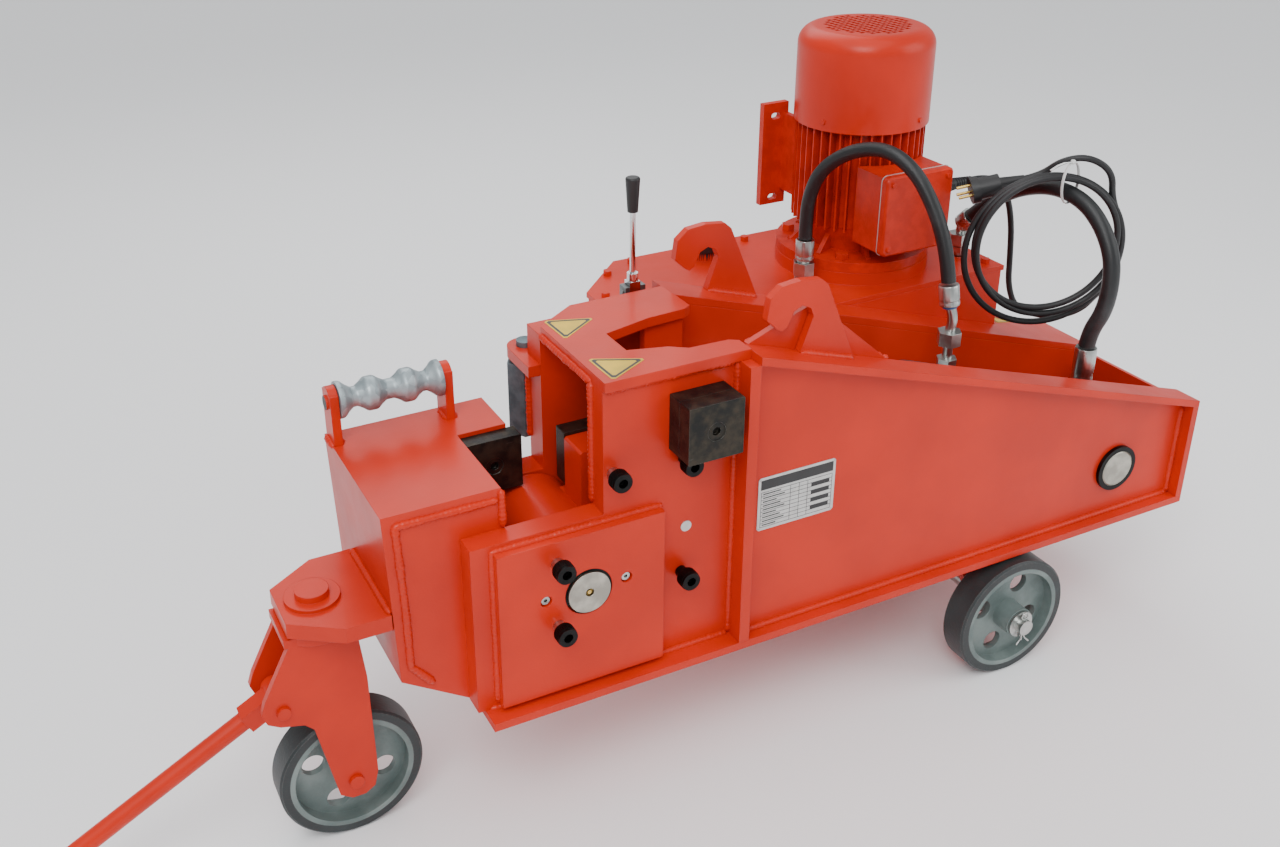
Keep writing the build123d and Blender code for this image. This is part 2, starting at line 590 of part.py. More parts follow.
box_x0, box_x1 = 398.0, 526.0
box_z0, box_z1 = 412.0, 541.0
box_y0, box_y1 = 287.0, motor_y - fin_r + 18
cover_y0 = 273.0
tbox = block(box_x0 + 3, box_x1 - 3, box_y0, box_y1, box_z0 + 3, box_z1 - 3)
tbox -= block(box_x0 + 8, box_x1 - 8, box_y0 - 1, box_y1 - 30, box_z0 + 8, box_z1 - 8)
tbox -= rod_z(motor_x, motor_y, fin_r + fit_c, 400, 700)
gland_y, gland_z = 302.0, 500.0
tbox -= rod_x(gland_y, gland_z, 9 + fit_c, box_x1 - 20, box_x1)
parts["terminal_box"] = tbox
cover = block(box_x0, box_x1, cover_y0, box_y0, box_z0, box_z1)
cover = fillet(cover.edges().filter_by(Axis.Y), 10)
cover = chamfer(cover.faces().sort_by(Axis.Y)[0].edges(), 3)
covers = [cover]
for x in (box_x0 + 12, box_x1 - 12):
    for z in (box_z0 + 12, box_z1 - 12):
        covers.append(rod_y(x, z, 4, cover_y0 - 3, cover_y0))
parts["terminal_cover"] = group(*covers)

cable_d = 10.0
gland_end = box_x1 + 26
gland = rod_x(gland_y, gland_z, 9, box_x1 - 14, box_x1 - 3)
gland += Pos(box_x1 - 3, gland_y, gland_z) * Rot(0, 90, 0) * extrude(
    RegularPolygon(13, 6, major_radius=False), 12)
gland += rod_x(gland_y, gland_z, 10, box_x1 + 8, gland_end - 6)
gland += Pos(gland_end - 3, gland_y, gland_z) * Rot(0, 90, 0) * Cone(10, 6.5, 6)
parts["cable_gland"] = gland

cowl = rod_z(motor_x, motor_y, cowl_r, cowl_z0, cowl_z1)
cowl = fillet(cowl.faces().sort_by(Axis.Z)[-1].edges(), 28)
hollow = rod_z(motor_x, motor_y, cowl_r - 2.5, cowl_z0 - 1, cowl_z1 - 2.5)
cowl -= fillet(hollow.faces().sort_by(Axis.Z)[-1].edges(), 25.5)
grille_r = 74.0
pitch = 11.0
holes = []
for i in range(-6, 7):
    for j in range(-6, 7):
        if hypot(i * pitch, j * pitch) < grille_r - 5:
            holes.append(Pos(i * pitch, j * pitch) * Rectangle(8, 8))
mesh = extrude(Pos(motor_x, motor_y, cowl_z1 - 5) * Sketch(children=holes), 10)
cowl -= mesh
cowl_screws = []
for k in range(4):
    a = radians(20 + 90 * k)
    stub = Rot(0, 0, degrees(a)) * Pos(cowl_r + 1.2, 0, cowl_z0 + 14) * Rot(0, 90, 0) * Cylinder(
        4, 2.4)
    cowl_screws.append(Pos(motor_x, motor_y, 0) * stub)
parts["fan_cowl"] = group(cowl, *cowl_screws)

shaft = rod_z(motor_x, motor_y, 14, 322, 660)
shaft += rod_z(motor_x, motor_y, 49, 450, 560)
coupling = rod_z(motor_x, motor_y, 30, 320, flange_z0 - 2)
coupling -= rod_z(motor_x, motor_y, 14 + fit_c, 319, flange_z0)
parts["rotor_shaft"] = group(shaft, coupling)
fan_disc = rod_z(motor_x, motor_y, 78, 622, 627) + rod_z(motor_x, motor_y, 24, 620, 655)
for k in range(9):
    blade_fin = block(26, 78, -1.5, 1.5, 626, 652)
    fan_disc += Pos(motor_x, motor_y, 0) * Rot(0, 0, 40 * k) * blade_fin
parts["motor_fan"] = fan_disc - rod_z(motor_x, motor_y, 14 + fit_c, 600, 700)

pump = block(motor_x - 45, motor_x + 45, motor_y - 45, motor_y + 45, 170, 280)
pump += rod_z(motor_x, motor_y, 52, 280, 290)
bell = rod_z(motor_x, motor_y, 58, 290, lid_z) - rod_z(motor_x, motor_y, 46, 291, lid_z + 1)
pump_shaft = rod_z(motor_x, motor_y, 10, 280, 314)
parts["gear_pump"] = group(pump + bell + pump_shaft)

# ---- valve and its lever ----------------------------------------------------------------
valve = block(-120, -rib_t, col_far[1], col_far[1] + 46, 350, 425)
valve_x, valve_y = -34.0, 282.0
pivot_lug_z = 444.0
lug = block(valve_x - 16, valve_x - 9, valve_y - 9, valve_y + 9, 425, pivot_lug_z + 8)
lug2 = block(valve_x + 9, valve_x + 16, valve_y - 9, valve_y + 9, 425, pivot_lug_z + 8)
lug_pin = rod_x(valve_y, pivot_lug_z, 4, valve_x - 17.5, valve_x + 17.5)
valve_body = valve + lug + lug2 - rod_x(valve_y, pivot_lug_z, 4 + fit_c, valve_x - 20, valve_x + 20)
for x in (-100, -60):
    valve_body += rod_z(x, valve_y, 9, 335, 350)
parts["control_valve"] = group(valve_body, lug_pin)
lever_top = 561.0
knob_l = 50.0
handle = block(valve_x - 8.5, valve_x + 8.5, valve_y - 8, valve_y + 8, pivot_lug_z - 12,
               pivot_lug_z + 14)
handle += rod_z(valve_x, valve_y, 8, pivot_lug_z + 14, pivot_lug_z + 26)
handle += rod_z(valve_x, valve_y, 4, pivot_lug_z + 26, lever_top + 30)
handle -= rod_x(valve_y, pivot_lug_z, 4 + run_c, valve_x - 20, valve_x + 20)
parts["control_lever"] = handle
knob = Pos(valve_x, valve_y, lever_top + knob_l / 2) * Cone(7.5, 10.5, knob_l)
knob = fillet(knob.faces().sort_by(Axis.Z)[-1].edges(), 3)
parts["lever_knob"] = knob - rod_z(valve_x, valve_y, 4 + fit_c, lever_top - 1, lever_top + 30)

# ---- hoses and their fittings -----------------------------------------------------------
hose_a_d = 22.0
hose_b_d = 25.0
hose_a = [(322, 368, 428), (322, 369, 455), (322, 366, 497), (329, 350, 545), (349, 307, 584),
          (373, 253, 599), (393, 210, 575), (406, 181, 532), (415, 161, 487), (420, 149, 442),
          (421.5, 145, 416)]
hose_b = [(633.5, 339, 421), (636, 317, 444), (640, 281, 475), (645, 232, 502), (648, 178, 516),
          (652, 126, 508), (654.5, 88, 480), (656, 63, 440), (656.5, 57, 396), (656, 62, 350),
          (655, 80, 312), (654.5, 82, 286)]
parts["pressure_hose"] = tube("pressure_hose", hose_a, hose_a_d)
parts["return_hose"] = tube("return_hose", hose_b, hose_b_d)


def straight_fitting(x, y, z0, z1, flats, ferrule_r):
    """Adapter, nut and ferrule in one line along Z."""
    body = rod_z(x, y, flats * 0.42, z0, z0 + 12) + hex_z(x, y, flats, z0 + 8, z0 + 20)
    body += hex_z(x, y, flats + 4, z0 + 22, z0 + 44) + rod_z(x, y, flats * 0.4, z0, z1)
    return body + rod_z(x, y, ferrule_r, z0 + 48, z1)


def arc_pipe(points, d):
    """Short bent steel pipe."""
    path, _ = hose_path(points)
    return sweep(Plane(origin=path @ 0, z_dir=path % 0) * Circle(d / 2), path=path)


def ferrule(start, direction, length, r):
    """Pressed sleeve round the end of a hose."""
    z_dir = Vector(*direction).normalized()
    plane = Plane(origin=Vector(*start), z_dir=z_dir)
    return extrude(plane * Circle(r), length)


fit_a = straight_fitting(*port_a, lid_z, hose_a[0][2] - 1.5, 27, 14)
b_dir = (Vector(*hose_b[1]) - Vector(*hose_b[0])).normalized()
elbow_end = tuple(Vector(*hose_b[0]) - b_dir * 3)
elbow_b = arc_pipe([(631, 360, lid_z), (631, 360, 388), (631, 357, 404), elbow_end], 16)
elbow_b += hex_z(*port_b, 27, lid_z + 8, lid_z + 18) + hex_z(*port_b, 32, lid_z + 20, lid_z + 40)
elbow_b += ferrule(Vector(*hose_b[0]) - b_dir * 26, b_dir, 25, 15.5)
parts["tank_fittings"] = group(fit_a, elbow_b)

axis_at = rear_pin_z + (rear_pin_x - 425) * tan(radians(cyl_tilt))
collar_top = axis_at + (collar_r - 6) / cos(radians(cyl_tilt))
port_c = (425.0, mid_y)
low = arc_pipe([(425, mid_y, collar_top), (425, mid_y, 338), (428, 134, 362),
                (422.5, 142.5, 388)], 15)
low += hex_z(*port_c, 27, collar_top + 12, collar_top + 24) + hex_z(*port_c, 32, 318, 340)
a_dir = Vector(*hose_a[-2]) - Vector(*hose_a[-1])
low += ferrule(Vector(*hose_a[-1]) - a_dir.normalized() * 36, a_dir, 32, 14.5)
port_d = (654.5, 82.0)
boss_z = rear_pin_z + (rear_pin_x - 654.5) * tan(radians(cyl_tilt)) + 30
low_b = rod_z(*port_d, 10, boss_z, 284) + hex_z(*port_d, 30, boss_z + 30, boss_z + 52)
low_b += rod_z(*port_d, 15.5, boss_z + 60, 284)
on_barrel = along * on_axis(28, tube_s, barrel_r) + along * on_axis(tube_s, head_s, collar_r)
parts["barrel_fittings"] = group(low - on_barrel, low_b - on_barrel)

# ---- power cord: lead, coil over the return hose, tail and plug -------------------------
coil_r = 118.0
coil_tube = 12.0
coil_turn = radians(-25)
coil_e = Vector(cos(coil_turn), sin(coil_turn), 0)
coil_n = Vector(-sin(coil_turn), cos(coil_turn), 0)
coil_top = Vector(648, 160, 516 + hose_b_d / 2 + coil_tube + 1.5)
coil_c = coil_top - Vector(0, 0, coil_r) - coil_e * 20
coil_plane = Plane(origin=coil_c, x_dir=coil_e, z_dir=coil_n)
parts["cable_coil"] = coil_plane * Torus(coil_r, coil_tube)


def coil_point(angle):
    """Place of the cord just outside the coil, its angle measured from coil_e towards +Z."""
    a = radians(angle)
    out = coil_r + coil_tube + cable_d / 2 + gap
    p = coil_c + coil_e * (out * cos(a)) + Vector(0, 0, out * sin(a))
    return (p.X, p.Y, p.Z)


lead = [(gland_end, gland_y, gland_z), (575, 302, 501), (606, 302, 502), (640, 301, 494),
        (668, 300, 462), (683, 299, 410), (688, 298, 350), (690, 296, 300), (701, 285, 262),
        (726, 262, 252), (752, 232, 256), (762, 200, 280), (755, 172, 315),
        coil_point(-32)]
tail_end = (612, 213.5, 525)
tail = [coil_point(40), (707, 132, 545), (677, 153, 567), (650, 180, 558),
        (634, 202, 531), tail_end]
lead_tube = tube("power_cable lead", lead, cable_d)
tail_tube = tube("power_cable tail", tail, cable_d)
parts["power_cable"] = group(lead_tube, tail_tube)

plug_dir = (Vector(*tail[-1]) - Vector(*tail[-2])).normalized()
plug_plane = Plane(origin=Vector(*tail_end), z_dir=plug_dir)
plug = Pos(0, 0, 20) * Cone(6, 11, 40) + Pos(0, 0, 55) * Cylinder(17, 34)
plug += Pos(0, 0, 76) * Cylinder(21, 12)
pins = [Pos(9 * cos(radians(a)), 9 * sin(radians(a)), 92) * Cylinder(2.4, 20)
        for a in (90, 210, 330)]
parts["power_plug"] = group(plug_plane * plug, *[plug_plane * p for p in pins])

# ---- front caster, tow bar --------------------------------------------------------------
plate_y0, plate_y1 = 62.0, 228.0
front_slope_x = -489.0
caster = flat_plate([(front_slope_x, plate_y0), (front_slope_x, plate_y1), (-548, plate_y1),
                     (-612, 185), (-612, 105), (-548, plate_y0)], caster_z - caster_t, caster_z)
caster -= nose_body
king_r = 16.0
caster -= rod_z(king_x, king_y, king_r + fit_c, caster_z - caster_t - 1, caster_z + 1)
fork_top = caster_z - caster_t - 5
washer_z = caster_z + 5
king = rod_z(king_x, king_y, king_r, fork_top - 14, washer_z + 4)
king += rod_z(king_x, king_y, king_r + 6, washer_z, washer_z + 9)
king_washer = rod_z(king_x, king_y, 36, caster_z, washer_z - fit_c)
king_washer -= rod_z(king_x, king_y, king_r + fit_c, caster_z - 1, washer_z + 1)
race = rod_z(king_x, king_y, 44, fork_top + gap, caster_z - caster_t)
race -= rod_z(king_x, king_y, king_r + fit_c, fork_top, caster_z)
parts["caster_mount"] = group(caster, king, king_washer, race)

fork_y = (king_y - fork_in - fork_t, king_y + fork_in + fork_t)
crown = rod_z(king_x, king_y, 50, fork_top - 12, fork_top)
crown += block(king_x - 50, king_x + 45, fork_y[0], fork_y[1], fork_top - 12, fork_top)
crown -= rod_z(king_x, king_y, king_r + run_c, fork_top - 20, fork_top + 1)
leg = [(-612, fork_top - 12), (-524, fork_top - 12), (-516, 60), (-514, axle_z + 6),
       (-520, axle_z - 18), (-534, axle_z - 27), (-552, axle_z - 27), (-568, axle_z - 16),
       (-592, 2), (-604, 14), (-634, 22), (-650, 32), (-656, 48), (-650, 66)]
axle_r = 10.0
fork = crown
for y0 in (fork_y[0], fork_y[1] - fork_t):
    fork += side_plate(leg, y0, y0 + fork_t)
fork -= rod_y(axle_front_x, axle_z, axle_r + fit_c, 0, width)
tow_pin_r = 9.0
fork -= rod_y(tow_x, tow_z, tow_pin_r + fit_c, 0, width)
parts["caster_fork"] = fork
fork_pins = []
for x, z, r in ((axle_front_x, axle_z, axle_r), (tow_x, tow_z, tow_pin_r)):
    pin = rod_y(x, z, r, fork_y[0] - 5, fork_y[1] + 5)
    fork_pins.append(pin)
parts["fork_pins"] = group(*fork_pins)


def wheel_parts(x, y, z, axle, boss_out):
    """Cast wheel with four lightening holes and its tyre. boss_out is -1, 0 or 1."""
    rim_r = wheel_r - tyre_t
    half = tyre_w / 2
    rim = rod_y(x, z, rim_r, y - half, y + half) - rod_y(x, z, rim_r - 7, y - half - 1,
                                                         y + half + 1)
    web = rod_y(x, z, rim_r - 6, y - 5, y + 5)
    for k in range(4):
        a = radians(68 + 90 * k)
        web -= rod_y(x + 52 * cos(a), z + 52 * sin(a), 16, y - 6, y + 6)
    boss_0 = y - half - (14 if boss_out < 0 else 0) + (0.8 if boss_out == 0 else 0)
    boss_1 = y + half + (14 if boss_out > 0 else 0) - (0.8 if boss_out == 0 else 0)
    hub = rim + web + rod_y(x, z, 24, boss_0, boss_1)
    hub -= rod_y(x, z, axle + run_c, y - 60, y + 60)
    ring = rod_y(x, z, wheel_r, y - half, y + half)
    ring = chamfer(ring.edges().filter_by(GeomType.CIRCLE), 3)
    ring -= rod_y(x, z, rim_r, y - half - 1, y + half + 1)
    return hub, ring


front_hub, front_ring = wheel_parts(axle_front_x, king_y, axle_z, axle_r, 0)
parts["front_wheel"] = front_hub
parts["front_tyre"] = front_ring

tow_span = tow_len - tow_r - 46
tow = Pos(-46 - tow_span / 2, 0, 0) * Rot(0, 90, 0) * Cylinder(tow_r, tow_span)
tow += block(-50, 0, -13, 13, -14, 14)
tow += rod_y(0, 0, 16, -22, 22)
tow -= rod_y(0, 0, tow_pin_r + run_c, -30, 30)
tow += rod_y(-tow_len + tow_r, 0, tow_r, -140, 140)
tow_place = Pos(tow_x, king_y, tow_z) * Rot(0, -tow_tilt, 0)
parts["tow_bar"] = tow_place * tow

# ---- rear axle and wheels ---------------------------------------------------------------
axle_rear_x = 480.0
near_wheel_y = 7.5
far_wheel_y = width - near_wheel_y
rear_axle_r = 12.5
axle_end = 42.0
washer_t = 4.0
axle = rod_y(axle_rear_x, axle_z, rear_axle_r, near_wheel_y - tyre_w / 2 - axle_end + 12,
             far_wheel_y + tyre_w / 2 + axle_end - 12)
axle_bits = [axle]
for side, wheel_y in ((-1, near_wheel_y), (1, far_wheel_y)):
    face = wheel_y + side * (tyre_w / 2 + 14 + gap)
    y0, y1 = sorted((face, face + side * washer_t))
    ring = rod_y(axle_rear_x, axle_z, 22, y0, y1)
    axle_bits.append(ring - rod_y(axle_rear_x, axle_z, rear_axle_r + fit_c, y0 - 1, y1 + 1))
    pin_y = face + side * (washer_t + 3)
    pin_hole = rod_z(axle_rear_x, pin_y, 2.0, axle_z - 30, axle_z + 20)
    axle_bits[0] = axle_bits[0] - pin_hole
    axle_bits.append(rod_z(axle_rear_x, pin_y, 1.95, axle_z - 27, axle_z + 17))
parts["rear_axle"] = group(*axle_bits)

bearer = []
for y0 in (near_wheel_y + tyre_w / 2 + 14, far_wheel_y - tyre_w / 2 - 14 - 14):
    outline = [(axle_rear_x - 75, 0), (axle_rear_x + 55, 0), (axle_rear_x + 24, axle_z - 10),
               (axle_rear_x + 12, axle_z - 24), (axle_rear_x - 12, axle_z - 24),
               (axle_rear_x - 24, axle_z - 10)]
    plate = side_plate(outline, y0, y0 + 14)
    bearer.append(plate - rod_y(axle_rear_x, axle_z, rear_axle_r + fit_c, y0 - 1, y0 + 15))
parts["axle_brackets"] = group(*bearer)

for name, wheel_y, out in (("near", near_wheel_y, -1), ("far", far_wheel_y, 1)):
    hub, ring = wheel_parts(axle_rear_x, wheel_y, axle_z, rear_axle_r, out)
    parts[name + "_rear_wheel"] = hub
    parts[name + "_rear_tyre"] = ring

# ---- origin at the middle of the footprint, on the ground ---------------------------
cord_nodes = ("power_cable", "cable_coil", "power_plug", "pressure_hose", "return_hose")
boxes = [shape.bounding_box() for name, shape in parts.items() if name not in cord_nodes]
mid_x = (min(b.min.X for b in boxes) + max(b.max.X for b in boxes)) / 2
mid_w = (min(b.min.Y for b in boxes) + max(b.max.Y for b in boxes)) / 2
low_z = min(b.min.Z for b in boxes)
to_origin = Pos(-mid_x, -mid_w, -low_z)
print("origin shift", round(-mid_x, 4), round(-mid_w, 4), round(-low_z, 4))
print("cylinder tilt", round(cyl_tilt, 4), "length", round(cyl_len, 3), "tow tilt",
      round(tow_tilt, 3), "nodes", len(parts))

for name, shape in parts.items():
    export_step(to_origin * shape, f"parts/{name}.step")
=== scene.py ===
"""Finish, hoses, power cord, weld beads and small fittings of a wheeled hydraulic rebar cutter."""
from math import cos, pi, radians, sin

import bmesh
import bpy
from bpy.props import FloatProperty, FloatVectorProperty, IntProperty, PointerProperty
from mathutils import Matrix, Vector


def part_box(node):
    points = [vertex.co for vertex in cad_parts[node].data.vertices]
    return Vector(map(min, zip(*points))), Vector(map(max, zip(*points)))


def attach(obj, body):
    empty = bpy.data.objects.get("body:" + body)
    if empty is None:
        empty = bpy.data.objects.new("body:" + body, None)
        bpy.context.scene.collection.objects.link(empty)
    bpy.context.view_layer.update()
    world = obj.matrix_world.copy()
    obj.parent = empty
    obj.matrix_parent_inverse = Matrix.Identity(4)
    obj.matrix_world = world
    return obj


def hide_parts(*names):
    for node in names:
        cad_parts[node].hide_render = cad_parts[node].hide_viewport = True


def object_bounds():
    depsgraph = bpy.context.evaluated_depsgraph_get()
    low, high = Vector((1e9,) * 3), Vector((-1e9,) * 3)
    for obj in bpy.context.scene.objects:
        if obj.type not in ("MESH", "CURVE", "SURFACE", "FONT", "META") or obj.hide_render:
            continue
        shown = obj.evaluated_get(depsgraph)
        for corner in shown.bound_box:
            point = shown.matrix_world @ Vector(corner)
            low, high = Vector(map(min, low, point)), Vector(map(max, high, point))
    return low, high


bl_info = {
    "name": "Rebar Cutter",
    "version": (1, 0, 0),
    "blender": (4, 5, 0),
    "location": "View3D > Sidebar > Rebar Cutter",
    "description": "Paint, hoses, cord, weld beads and fittings round the cutter's frame",
    "category": "Object",
}

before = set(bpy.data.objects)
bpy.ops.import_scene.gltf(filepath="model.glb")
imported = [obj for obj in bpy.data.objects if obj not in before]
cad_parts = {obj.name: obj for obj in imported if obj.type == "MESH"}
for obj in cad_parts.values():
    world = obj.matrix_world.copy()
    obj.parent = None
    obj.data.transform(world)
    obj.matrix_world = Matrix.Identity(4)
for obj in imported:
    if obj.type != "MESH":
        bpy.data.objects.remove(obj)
CAD_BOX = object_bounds()
MM = 0.001

# The base plate's front near lower corner fixes every place below: the rib stands
# BASE_FRONT behind it, and sizes are counted from the rib, the near edge and the base.
BASE_FRONT = 384.0
BASE_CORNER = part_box("base_plate")[0]


def at(x, y, z):
    """Point in metres, from millimetres behind the rib, in from the near edge and up."""
    return BASE_CORNER + Vector((BASE_FRONT + x, y, z)) * MM


# ---- sizes shared with the frame, in millimetres ---------------------------------------
RIB_HEIGHT = 450.0
REAR_HEIGHT = 185.0
REAR_X = 830.0
FRONT_X = -384.0
BASE_THICK = 12.0
WALL_NEAR_Y = 20.0
COLUMN_NEAR = (30.0, 62.0)
COLUMN_FAR = (215.0, 257.0)
COLUMN_FRONT = -210.0
COLUMN_TOP = 438.0
CHEEK = (-365.0, -129.0, 20.0, 252.0)
CHEEK_FACE = 14.0
PIVOT = (-240.0, 164.0)
ROD_PIN = (-100.0, 362.0)
REAR_PIN = (688.0, 93.0)
BLANK_PLUG = (-88.0, 209.0)
ROLLER = (274.0, 378.0, -492.0, -320.0)
PLUG_FACE = 82.5
TANK = (10.0, 660.0, 286.0, 603.0, 110.0, 337.0)
TANK_CORNER = 100.0
AXLE_Z = -104.0
REAR_AXLE_X = 480.0

PRESSURE_ROUTE = [
    (322, 368, 428), (322, 369, 455), (322, 366, 497), (329, 350, 545), (349, 307, 584),
    (373, 253, 599), (393, 210, 575), (406, 181, 532), (415, 161, 487), (420, 149, 442),
    (421.5, 145, 416),
]
RETURN_ROUTE = [
    (633.5, 339, 421), (636, 317, 444), (640, 281, 475), (645, 232, 502), (648, 178, 516),
    (652, 126, 508), (654.5, 88, 480), (656, 63, 440), (656.5, 57, 396), (656, 62, 350),
    (655, 80, 312), (654.5, 82, 286),
]
LEAD_ROUTE = [
    (552, 302, 500), (575, 302, 501), (606, 302, 502), (640, 301, 494), (668, 300, 462),
    (683, 299, 410), (688, 298, 350), (690, 296, 300), (701, 285, 262), (726, 262, 252),
    (752, 232, 256), (762, 200, 280), (755, 172, 315),
]
TAIL_ROUTE = [
    (707, 132, 545), (677, 153, 567), (650, 180, 558), (634, 202, 531), (612, 213.5, 525),
]


# ---- property groups -------------------------------------------------------------------
class CutterPaint(bpy.types.PropertyGroup):
    """Colours and gloss of the cutter's finishes."""

    enamel: FloatVectorProperty(
        name="Enamel", description="Colour of the sprayed enamel", subtype="COLOR",
        size=3, min=0, max=1, default=(0.57, 0.020, 0.0035))
    enamel_rough: FloatProperty(
        name="Enamel roughness", description="How matt the enamel is",
        min=0, max=1, default=0.36, subtype="FACTOR")
    sticker: FloatVectorProperty(
        name="Sticker", description="Colour of the plain warning triangles",
        subtype="COLOR", size=3, min=0, max=1, default=(0.66, 0.42, 0.0))
    wear: FloatProperty(
        name="Wear", description="How far the enamel is rubbed on its edges",
        min=0, max=1, default=0.35, subtype="FACTOR")


class CutterDetail(bpy.types.PropertyGroup):
    """Sizes of the pieces that are added to the frame."""

    pressure_hose: FloatProperty(
        name="Pressure hose", description="Outer diameter of the motor side hose",
        unit="LENGTH", default=0.022, min=0.01)
    return_hose: FloatProperty(
        name="Return hose", description="Outer diameter of the rear hose",
        unit="LENGTH", default=0.025, min=0.01)
    cable: FloatProperty(
        name="Cable", description="Diameter of the power cord", unit="LENGTH",
        default=0.010, min=0.004)
    bead: FloatProperty(
        name="Weld bead", description="Radius of the fillet welds", unit="LENGTH",
        default=0.0056, min=0.001)
    ripple: FloatProperty(
        name="Weld ripple", description="Length of one ripple of a weld", unit="LENGTH",
        default=0.0062, min=0.001)
    knurls: IntProperty(
        name="Knurls", description="Flutes round the head of a socket screw",
        default=32, min=8, max=80)


class CutterStage(bpy.types.PropertyGroup):
    """Floor and light of the studio."""

    floor: FloatVectorProperty(
        name="Floor", description="Colour of the floor", subtype="COLOR", size=3,
        min=0, max=1, default=(0.93, 0.93, 0.94))
    key: FloatProperty(
        name="Key light", description="Power of the main light", unit="POWER",
        default=66.0, min=0)
    ceiling: FloatProperty(
        name="Ceiling", description="Strength of the even light from above", default=1.5,
        min=0)
    sky: FloatProperty(
        name="Sky", description="Strength of the surrounding light", default=0.5, min=0)


# ---- shader expressions ----------------------------------------------------------------
def feed(tree, pin, value):
    """Links an output to a pin, or sets the pin to a number, a vector or a colour."""
    if isinstance(value, Socket):
        tree.links.new(value.output, pin)
    elif pin.type == "RGBA":
        pin.default_value = (*value, 1.0)
    else:
        pin.default_value = value


class Socket:
    """One output of a shader tree, so that masks are written as sums and products."""

    def __init__(self, tree, output):
        self.tree = tree
        self.output = output

    def math(self, operation, *others, flip=False):
        """Math node of this output and others, which are outputs or numbers."""
        node = self.tree.nodes.new("ShaderNodeMath")
        node.operation = operation
        terms = [self, *others]
        if flip:
            terms.reverse()
        for term, pin in zip(terms, node.inputs):
            feed(self.tree, pin, term)
        return Socket(self.tree, node.outputs[0])

    def __add__(self, other):
        return self.math("ADD", other)

    __radd__ = __add__

    def __sub__(self, other):
        return self.math("SUBTRACT", other)

    def __rsub__(self, other):
        return self.math("SUBTRACT", other, flip=True)

    def __mul__(self, other):
        return self.math("MULTIPLY", other)

    __rmul__ = __mul__

    def step(self, low, high):
        """0 below low, 1 above high and smooth between."""
        node = self.tree.nodes.new("ShaderNodeMapRange")
        node.interpolation_type = "SMOOTHSTEP"
        node.inputs["From Min"].default_value = low
        node.inputs["From Max"].default_value = high
        self.tree.links.new(self.output, node.inputs["Value"])
        return Socket(self.tree, node.outputs["Result"])


class Finish:
    """One procedural material: nodes come from `node`, and the end from `surface`."""

    def __init__(self, name):
        self.material = bpy.data.materials.new(name)
        self.material.use_nodes = True
        self.tree = self.material.node_tree
        self.shader = self.tree.nodes["Principled BSDF"]
        self.place = self.node("ShaderNodeTexCoord", output="Object")

    def node(self, kind, settings=(), output=0, **inputs):
        """A node of that kind with its settings made first, then its inputs."""
        made = self.tree.nodes.new(kind)
        for key, value in dict(settings).items():
            setattr(made, key, value)
        for key, value in inputs.items():
            feed(self.tree, made.inputs[key.replace("_", " ")], value)
        return Socket(self.tree, made.outputs[output])

    def noise(self, per_metre, detail=3.0, stretch=None):
        """Soft noise with that many blotches to the metre, stretched if wanted."""
        place = self.place
        if stretch:
            place = self.node("ShaderNodeMapping", Vector=place, Scale=stretch)
        return self.node("ShaderNodeTexNoise", output="Fac", Vector=place, Scale=per_metre,
                         Detail=detail)

    def blend(self, mask, first, second):
        """Colour between first and second as mask goes from 0 to 1."""
        made = self.tree.nodes.new("ShaderNodeMix")
        made.data_type = "RGBA"
        feed(self.tree, made.inputs["Factor"], mask)
        ends = [pin for pin in made.inputs if pin.type == "RGBA"]
        for pin, value in zip(ends, (first, second)):
            feed(self.tree, pin, value)
        return Socket(self.tree, next(pin for pin in made.outputs if pin.type == "RGBA"))

    def edges(self, reach):
        """1 on sharp edges, 0 on the flats: how far a rounded normal leaves the face."""
        rounded = self.node("ShaderNodeBevel", {"samples": 4}, Radius=reach)
        true = self.node("ShaderNodeNewGeometry", output="Normal")
        dot = self.node("ShaderNodeVectorMath", {"operation": "DOT_PRODUCT"},
                        output="Value")
        for normal, pin in zip((rounded, true), dot.output.node.inputs):
            feed(self.tree, pin, normal)
        return 1.0 - dot

    def bump(self, height, depth, strength=0.5, soften=0.0):
        """Normal from a height in the range 0 to 1 and its depth in metres."""
        normal = self.node("ShaderNodeBump", output="Normal", Height=height,
                           Distance=depth, Strength=strength)
        if soften:
            rounded = self.node("ShaderNodeBevel", {"samples": 4}, Radius=soften)
            feed(self.tree, normal.output.node.inputs["Normal"], rounded)
        return normal

    def surface(self, **inputs):
        """Sets or links the shader's own sockets and returns the material."""
        for key, value in inputs.items():
            feed(self.tree, self.shader.inputs[key.replace("_", " ")], value)
        return self.material


def shade(colour, factor):
    """The colour made darker or paler by a factor."""
    return tuple(min(1.0, part * factor) for part in colour)


